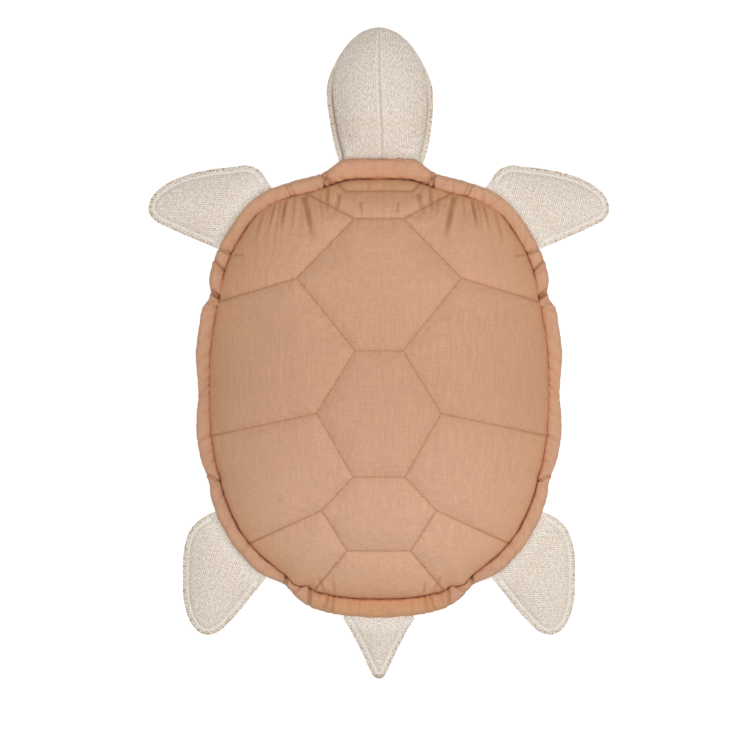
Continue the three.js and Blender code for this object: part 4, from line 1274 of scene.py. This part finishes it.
class Shade:
    """A material, or a world, and the one method that adds nodes to it."""

    def __init__(self, name, home=None):
        self.material = (bpy.data.materials if home is None else home).new(name)
        self.material.use_nodes = True
        self.tree = self.material.node_tree
        self.tree.nodes.clear()

    def node(self, kind, inputs=(), output=0, stops=(), **settings):
        """Add a node: its settings first, then the values or links of its sockets."""
        node = self.tree.nodes.new(kind)
        for key, value in settings.items():
            setattr(node, key, value)
        for number, (place, colour) in enumerate(stops):
            ramp = node.color_ramp.elements
            stop = ramp[number] if number < len(ramp) else ramp.new(place)
            stop.position = place
            stop.color = colour
        for key, value in dict(inputs).items():
            if isinstance(value, Signal):
                self.tree.links.new(value.socket, node.inputs[key])
            else:
                node.inputs[key].default_value = value
        return Signal(self, node.outputs[output])

    def stretched(self, places, scale):
        return self.node("ShaderNodeMapping", {"Vector": places, "Scale": scale})

    def noise(self, vector, scale, detail=2.0, roughness=0.5):
        return self.node("ShaderNodeTexNoise", {
            "Vector": vector, "Scale": scale, "Detail": detail, "Roughness": roughness})

    def ramp(self, value, low, high):
        """0 below low, 1 above high and a straight rise between them."""
        stops = [(low, (0, 0, 0, 1)), (high, (1, 1, 1, 1))]
        return self.node("ShaderNodeValToRGB", {"Fac": value}, stops=stops)

    def attribute(self, name):
        return self.node("ShaderNodeAttribute", output="Fac", attribute_name=name)

    def blend(self, factor, a, b, kind="MIX"):
        return self.node("ShaderNodeMix", {"Factor": factor, 6: a, 7: b}, output=2,
                         data_type="RGBA", blend_type=kind, clamp_factor=True)

    def surface(self, **sockets):
        inputs = {key.replace("_", " "): value for key, value in sockets.items()}
        return self.finish(self.node("ShaderNodeBsdfPrincipled", inputs))

    def finish(self, shader, kind="ShaderNodeOutputMaterial"):
        output = self.tree.nodes.new(kind)
        self.tree.links.new(shader.socket, output.inputs["Surface"])
        return self.material

    def seen_white(self):
        """1 for rays that come straight from the camera or by way of a gloss or a clear surface."""
        camera = self.node("ShaderNodeLightPath", output="Is Camera Ray")
        return camera + camera.beside("Is Glossy Ray") + camera.beside("Is Transmission Ray")


def tinted(colour, factor=1, warm=0):
    """A colour made lighter or darker, and redder by warm."""
    red, green, blue = colour[:3]
    return (red * factor * (1 + warm), green * factor, blue * factor * (1 - warm), 1)


def cotton(name, colour, finish, falloff=0, front_lighting=(1, 1, 1), rear_lighting=(1, 1, 1)):
    """Plain-woven cotton with slubs along its warp, painted shade in its seams, folds and groove, painted
    light and shade towards its ends and painted shade on its steep edge.
    """
    known = bpy.data.materials.get(name)
    if known:
        return known
    shade = Shade(name)
    here = shade.node("ShaderNodeTexCoord", output="Object")
    slubs = shade.noise(shade.stretched(here, (640, 30, 420)), 1, 3, 0.65)
    threads = shade.noise(shade.stretched(here, (70, 760, 520)), 1, 2, 0.5)
    grain = shade.noise(here, 1100, 2, 0.6)
    cloud = shade.noise(here, 9, 2, 0.5)
    tone = 0.5 + (slubs - 0.5) * 1.1 + (threads - 0.5) * 0.7 + (grain - 0.5) * 0.6 + (cloud - 0.5) * 0.3
    level = shade.blend(tone, tinted(colour, 0.82), tinted(colour, 1.18))
    along = shade.node("ShaderNodeSeparateXYZ", {"Vector": here}, output=1)
    # Painted light along the cushion: the quilt is lighter towards its front and its rear, and the rim darker
    # towards its rear.
    front = shade.blend(along * falloff, level, (*front_lighting, 1), kind="MULTIPLY")
    end_lit = shade.blend(along * -falloff, front, (*rear_lighting, 1), kind="MULTIPLY")
    # Painted shade: darker and warmer on the dome's steep edge beside the groove and on the rim's rear end.
    cloth = shade.blend(shade.attribute("slope") * 0.85, end_lit, (*SLOPE_SHADE, 1), kind="MULTIPLY")
    # Painted shade in the quilting seams, folds, creases and the groove's dark line.
    drawn = shade.blend(shade.attribute("seam") * 0.5, cloth, tinted(finish.seam))
    # Painted shade and bounce light: a deeper, redder cotton where the rim meets the quilt and under the rim.
    base = shade.blend(shade.attribute("groove") * 0.7, drawn, tinted(finish.groove))
    weave = slubs * 0.6 + threads * 0.3 + grain * 0.6
    bump = shade.node("ShaderNodeBump", {"Height": weave, "Strength": 0.22, "Distance": 0.0006})
    return shade.surface(Base_Color=base, Roughness=0.8 + (grain - 0.5) * 0.15, Normal=bump,
                         Sheen_Weight=0.04, Specular_IOR_Level=0.2)


def quilted_cotton(finish):
    return cotton("quilted cotton", finish.cotton, finish, 5.1, QUILT_FRONT_LIGHT, QUILT_REAR_LIGHT)


def rim_cotton(finish):
    return cotton("rim cotton", finish.rim, finish, 4, rear_lighting=RIM_REAR_SHADE)


def belly_cotton(finish):
    return cotton("belly cotton", finish.belly, finish)


def natural_weave(finish):
    """Undyed coarse weave: ribs of small floats, painted shade in the pits between them and brown flecks, with
    painted highlights on the ridges, painted shade in the creases and painted light beside the root.
    """
    known = bpy.data.materials.get("natural weave")
    if known:
        return known
    shade = Shade("natural weave")
    flat = shade.node("ShaderNodeUVMap", uv_map="weave")
    wobble = shade.node("ShaderNodeTexNoise", {"Vector": flat, "Scale": 110, "Detail": 2}, output="Color")
    moved = shade.node("ShaderNodeVectorMath", {0: wobble, 1: (0.0022, 0.0022, 0)}, operation="MULTIPLY")
    place = shade.node("ShaderNodeVectorMath", {0: flat, 1: moved}, operation="ADD")
    x = shade.node("ShaderNodeSeparateXYZ", {"Vector": place})
    ribs = (x * (2 * math.pi / RIB_PITCH)).cosine()
    columns = (x * (math.pi / RIB_PITCH)).cosine()
    rows = (x.beside("Y") * (2 * math.pi / FLOAT_PITCH)).cosine()
    floats = ribs * 0.25 + columns * rows * 0.75
    uneven = shade.noise(shade.stretched(flat, (420, 260, 1)), 1, 2, 0.6)
    grain = shade.noise(flat, 900, 2, 0.6)
    cloud = shade.noise(flat, 22, 2, 0.5)
    depth = 0.2 + cloud * 0.7
    # Painted shade: the pits between the floats are darker and warmer in the colour, as well as in the bump.
    tone = 0.57 + floats * depth * 1.25 + (uneven - 0.5) * 1.6 + (grain - 0.5) * 1.6
    cloth = shade.blend(tone, tinted(finish.weave, 0.6, 0.13), tinted(finish.weave, 1.18))
    fleck = shade.ramp(shade.noise(shade.stretched(flat, (430, 520, 1)), 1, 1, 0.4), 0.67, 0.74)
    flecked = shade.blend(fleck * 0.55, cloth, tinted(finish.fleck))
    hem = shade.attribute("hem")
    # Painted highlight on the ridges, and a lighter hem.
    light = shade.blend(shade.attribute("ridge") * 0.65 + hem * 0.2, flecked, RIDGE_HIGHLIGHT)
    strands = shade.ramp(shade.noise(flat, 520, 2, 0.6), 0.5, 0.6)
    edged = shade.blend(hem * strands * 0.7, light, tinted(finish.fleck, 1.2))
    # Painted shade in the creases along the stitches, the head's middle seam and the tail's tip.
    base = shade.blend(shade.attribute("seam") * 0.5, edged, tinted(finish.fleck, 0.75))
    # Painted light beside the root.
    near_rim = shade.blend(shade.attribute("root"), base, ROOT_LIGHT, kind="MULTIPLY")
    height = floats * 0.5 + uneven * 0.3 + grain * 0.4
    bump = shade.node("ShaderNodeBump", {"Height": height, "Strength": 0.45, "Distance": 0.0007})
    return shade.surface(Base_Color=near_rim, Roughness=0.9, Normal=bump,
                         Sheen_Weight=0.1, Specular_IOR_Level=0.2)


def thread_finish(name, colour, second=None):
    """Twisted sewing thread, with stitches of a second colour among the first where one is given."""
    known = bpy.data.materials.get(name)
    if known:
        return known
    shade = Shade(name)
    here = shade.node("ShaderNodeTexCoord", output="Object")
    twist = shade.noise(here, 1400, 2, 0.5)
    base = shade.blend(twist, tinted(colour, 0.8), tinted(colour, 1.2))
    if second is not None:
        chosen = shade.ramp(shade.noise(here, 330, 1, 0.5), 0.48, 0.56)
        base = shade.blend(chosen, base, tinted(second))
    bump = shade.node("ShaderNodeBump", {"Height": twist, "Strength": 0.3, "Distance": 0.0003})
    return shade.surface(Base_Color=base, Roughness=0.75, Normal=bump)


# Stage

def make_stage(context):
    """A white floor that keeps the cushion's soft shadow, plain soft light and the camera."""
    stage = context.scene.cushion_stage
    scene = context.scene
    corners = np.array([(-1, -1, 0), (1, -1, 0), (1, 1, 0), (-1, 1, 0)]) * FLOOR_REACH - (0, 0, FLOOR_DROP)
    floor = mesh_object("floor", corners, [(0, 1, 2, 3)])
    shade = Shade("white floor")
    plain = shade.node("ShaderNodeBsdfDiffuse", {"Color": (0.8, 0.8, 0.8, 1)})
    glow = shade.node("ShaderNodeEmission", {"Color": (1, 1, 1, 1), "Strength": stage.floor_glow})
    both = shade.node("ShaderNodeAddShader", {0: plain, 1: glow})
    mixed = shade.node("ShaderNodeMixShader", {0: shade.seen_white(), 1: plain, 2: both})
    floor.data.materials.append(shade.finish(mixed))

    studio = Shade("studio", bpy.data.worlds)
    dim = studio.node("ShaderNodeBackground", {"Color": (1, 0.99, 0.975, 1), "Strength": stage.room_light})
    white = studio.node("ShaderNodeBackground", {"Color": (1, 1, 1, 1), "Strength": 1})
    mixed = studio.node("ShaderNodeMixShader", {0: studio.seen_white(), 1: dim, 2: white})
    scene.world = studio.finish(mixed, "ShaderNodeOutputWorld")

    def lamp(name, place, size, power):
        data = bpy.data.lights.new(name, "AREA")
        data.shape = "SQUARE"
        data.size = size
        data.energy = power
        obj = bpy.data.objects.new(name, data)
        obj.location = place
        aim = Vector((0, 0, 0.05)) - Vector(place)
        obj.rotation_euler = aim.to_track_quat("-Z", "Y").to_euler()
        scene.collection.objects.link(obj)

    lamp("main softbox", (1.5, -0.3, 1.7), 1.0, stage.main_lamp)
    lamp("fill softbox", (-1.3, -0.2, 2.0), 1.6, stage.fill_lamp)
    lamp("top softbox", (0.05, 0.1, 2.4), 0.8, stage.top_lamp)

    camera = bpy.data.cameras.new("camera")
    camera.sensor_width = SENSOR_WIDTH
    camera.lens = LENS
    distance = stage.view_width / SENSOR_WIDTH * LENS
    obj = bpy.data.objects.new("camera", camera)
    x, y, height = (value * MM for value in VIEW_CENTRE)
    obj.location = (x, y, height + distance)
    scene.collection.objects.link(obj)
    scene.camera = obj
    scene.view_settings.view_transform = "Standard"


# Settings that a user would change

def amount_setting(name, description, default, **more):
    return bpy.props.FloatProperty(name=name, description=description, default=default, min=0, **more)


def length_setting(name, description, default):
    return amount_setting(name, description, default, unit="LENGTH", subtype="DISTANCE")


def power_setting(name, description, default):
    return amount_setting(name, description, default, unit="POWER")


def colour_setting(name, description, default):
    return bpy.props.FloatVectorProperty(
        name=name, description=description, default=default, size=3, min=0, max=1, subtype="COLOR")


class CushionShell(bpy.types.PropertyGroup):
    width: length_setting("Width", "Width of the shell over its rim", 0.395)
    length: length_setting("Length", "Length of the shell over its rim, without the neck band", 0.481)
    crown: length_setting("Crown Height", "Height of the shell above the floor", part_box("quilted_top")[1][2])
    rim_width: length_setting("Rim Width", "Width of the padded rim, seen from above", 0.015)
    rim_height: length_setting("Rim Height", "Height of the padded rim above its seam", 0.016)
    channel_depth: length_setting("Channel Depth", "How far the quilting draws the cloth down", 0.0045)
    stitch_pitch: length_setting("Stitch Pitch", "Distance from one quilting stitch to the next", 0.00345)


class CushionFinish(bpy.types.PropertyGroup):
    cotton: colour_setting("Shell Cotton", "Clay-coloured cotton of the quilted top", (0.555, 0.31, 0.197))
    rim: colour_setting("Rim Cotton", "Cotton of the padded rim", (0.595, 0.335, 0.208))
    belly: colour_setting("Belly Cotton", "Cotton of the underside", (0.56, 0.31, 0.195))
    # Painted shade in the quilting seams, folds and creases.
    seam: colour_setting("Seam Shade", "Cotton in the quilting seams and folds", (0.40, 0.19, 0.085))
    # Painted shade and bounce light where the rim meets the quilt.
    groove: colour_setting("Groove Shade", "Cotton where the rim meets the quilt", (0.64, 0.29, 0.15))
    weave: colour_setting("Natural Weave", "Undyed weave of the limbs", (0.77, 0.71, 0.64))
    fleck: colour_setting("Flecks", "Husk flecks in the undyed weave", (0.36, 0.23, 0.12))
    quilting_thread: colour_setting("Quilting Thread", "Thread of the quilting lines", (0.34, 0.155, 0.065))
    overlock_thread: colour_setting("Overlock Thread", "Thread over the raw edges", (0.84, 0.78, 0.7))


class CushionStage(bpy.types.PropertyGroup):
    view_width: length_setting("View Width", "Width that the camera shows", 0.80625)
    room_light: amount_setting("Room Light", "Even light from all round", 0.55)
    main_lamp: power_setting("Main Softbox", "Power of the softbox on the right", 10)
    fill_lamp: power_setting("Fill Softbox", "Power of the softbox on the left", 4)
    top_lamp: power_setting("Top Softbox", "Power of the softbox overhead", 18)
    floor_glow: amount_setting("Floor White", "How far the floor is lifted to white", 0.62)


# Operators and panel

class CUSHION_OT_quilted_top(bpy.types.Operator):
    """Make the quilted top of the shell"""
    bl_idname = "cushion.quilted_top"
    bl_label = "Quilted Top"

    def execute(self, context):
        make_quilted_top(context)
        return {"FINISHED"}


class CUSHION_OT_rim(bpy.types.Operator):
    """Make the padded rim and the band over the neck"""
    bl_idname = "cushion.rim"
    bl_label = "Rim and Neck Band"

    def execute(self, context):
        make_rim(context)
        return {"FINISHED"}


class CUSHION_OT_belly(bpy.types.Operator):
    """Make the belly panel with the stuffing above it"""
    bl_idname = "cushion.belly"
    bl_label = "Belly"

    def execute(self, context):
        make_belly(context)
        return {"FINISHED"}


class CUSHION_OT_limbs(bpy.types.Operator):
    """Make the head, the four flippers and the tail, each with its overlocked edge"""
    bl_idname = "cushion.limbs"
    bl_label = "Head, Flippers and Tail"

    def execute(self, context):
        for limb in all_limbs(ShellPlan(context.scene.cushion_shell)):
            cover, free = make_limb(limb, context)
            make_overlock(limb, cover, free, context)
        return {"FINISHED"}


class CUSHION_OT_quilting(bpy.types.Operator):
    """Sew the quilting lines"""
    bl_idname = "cushion.quilting"
    bl_label = "Quilting"

    def execute(self, context):
        make_quilting(context)
        return {"FINISHED"}


class CUSHION_OT_stage(bpy.types.Operator):
    """Make the floor, the light and the camera"""
    bl_idname = "cushion.stage"
    bl_label = "Stage"

    def execute(self, context):
        make_stage(context)
        return {"FINISHED"}


OPERATORS = [
    CUSHION_OT_quilted_top, CUSHION_OT_rim, CUSHION_OT_belly, CUSHION_OT_limbs, CUSHION_OT_quilting,
    CUSHION_OT_stage,
]


class CUSHION_PT_sidebar(bpy.types.Panel):
    """Lists what the cushion is made of"""
    bl_idname = "CUSHION_PT_sidebar"
    bl_label = "Turtle Cushion"
    bl_space_type = "VIEW_3D"
    bl_region_type = "UI"
    bl_category = "Cushion"

    def draw(self, context):
        for group in (context.scene.cushion_shell, context.scene.cushion_finish, context.scene.cushion_stage):
            box = self.layout.box()
            for name in group.bl_rna.properties.keys():
                if name not in ("rna_type", "name"):
                    box.prop(group, name)
        for operator in OPERATORS:
            self.layout.operator(operator.bl_idname)


SETTINGS = {"cushion_shell": CushionShell, "cushion_finish": CushionFinish, "cushion_stage": CushionStage}


def register():
    for group in SETTINGS.values():
        bpy.utils.register_class(group)
    for name, group in SETTINGS.items():
        setattr(bpy.types.Scene, name, bpy.props.PointerProperty(type=group))
    for operator in OPERATORS:
        bpy.utils.register_class(operator)
    bpy.utils.register_class(CUSHION_PT_sidebar)


def unregister():
    bpy.utils.unregister_class(CUSHION_PT_sidebar)
    for operator in OPERATORS:
        bpy.utils.unregister_class(operator)
    for name, group in SETTINGS.items():
        delattr(bpy.types.Scene, name)
        bpy.utils.unregister_class(group)


def main():
    register()
    bpy.ops.cushion.quilted_top()
    bpy.ops.cushion.rim()
    bpy.ops.cushion.belly()
    bpy.ops.cushion.limbs()
    bpy.ops.cushion.quilting()
    bpy.ops.cushion.stage()


if __name__ == "__main__":
    main()
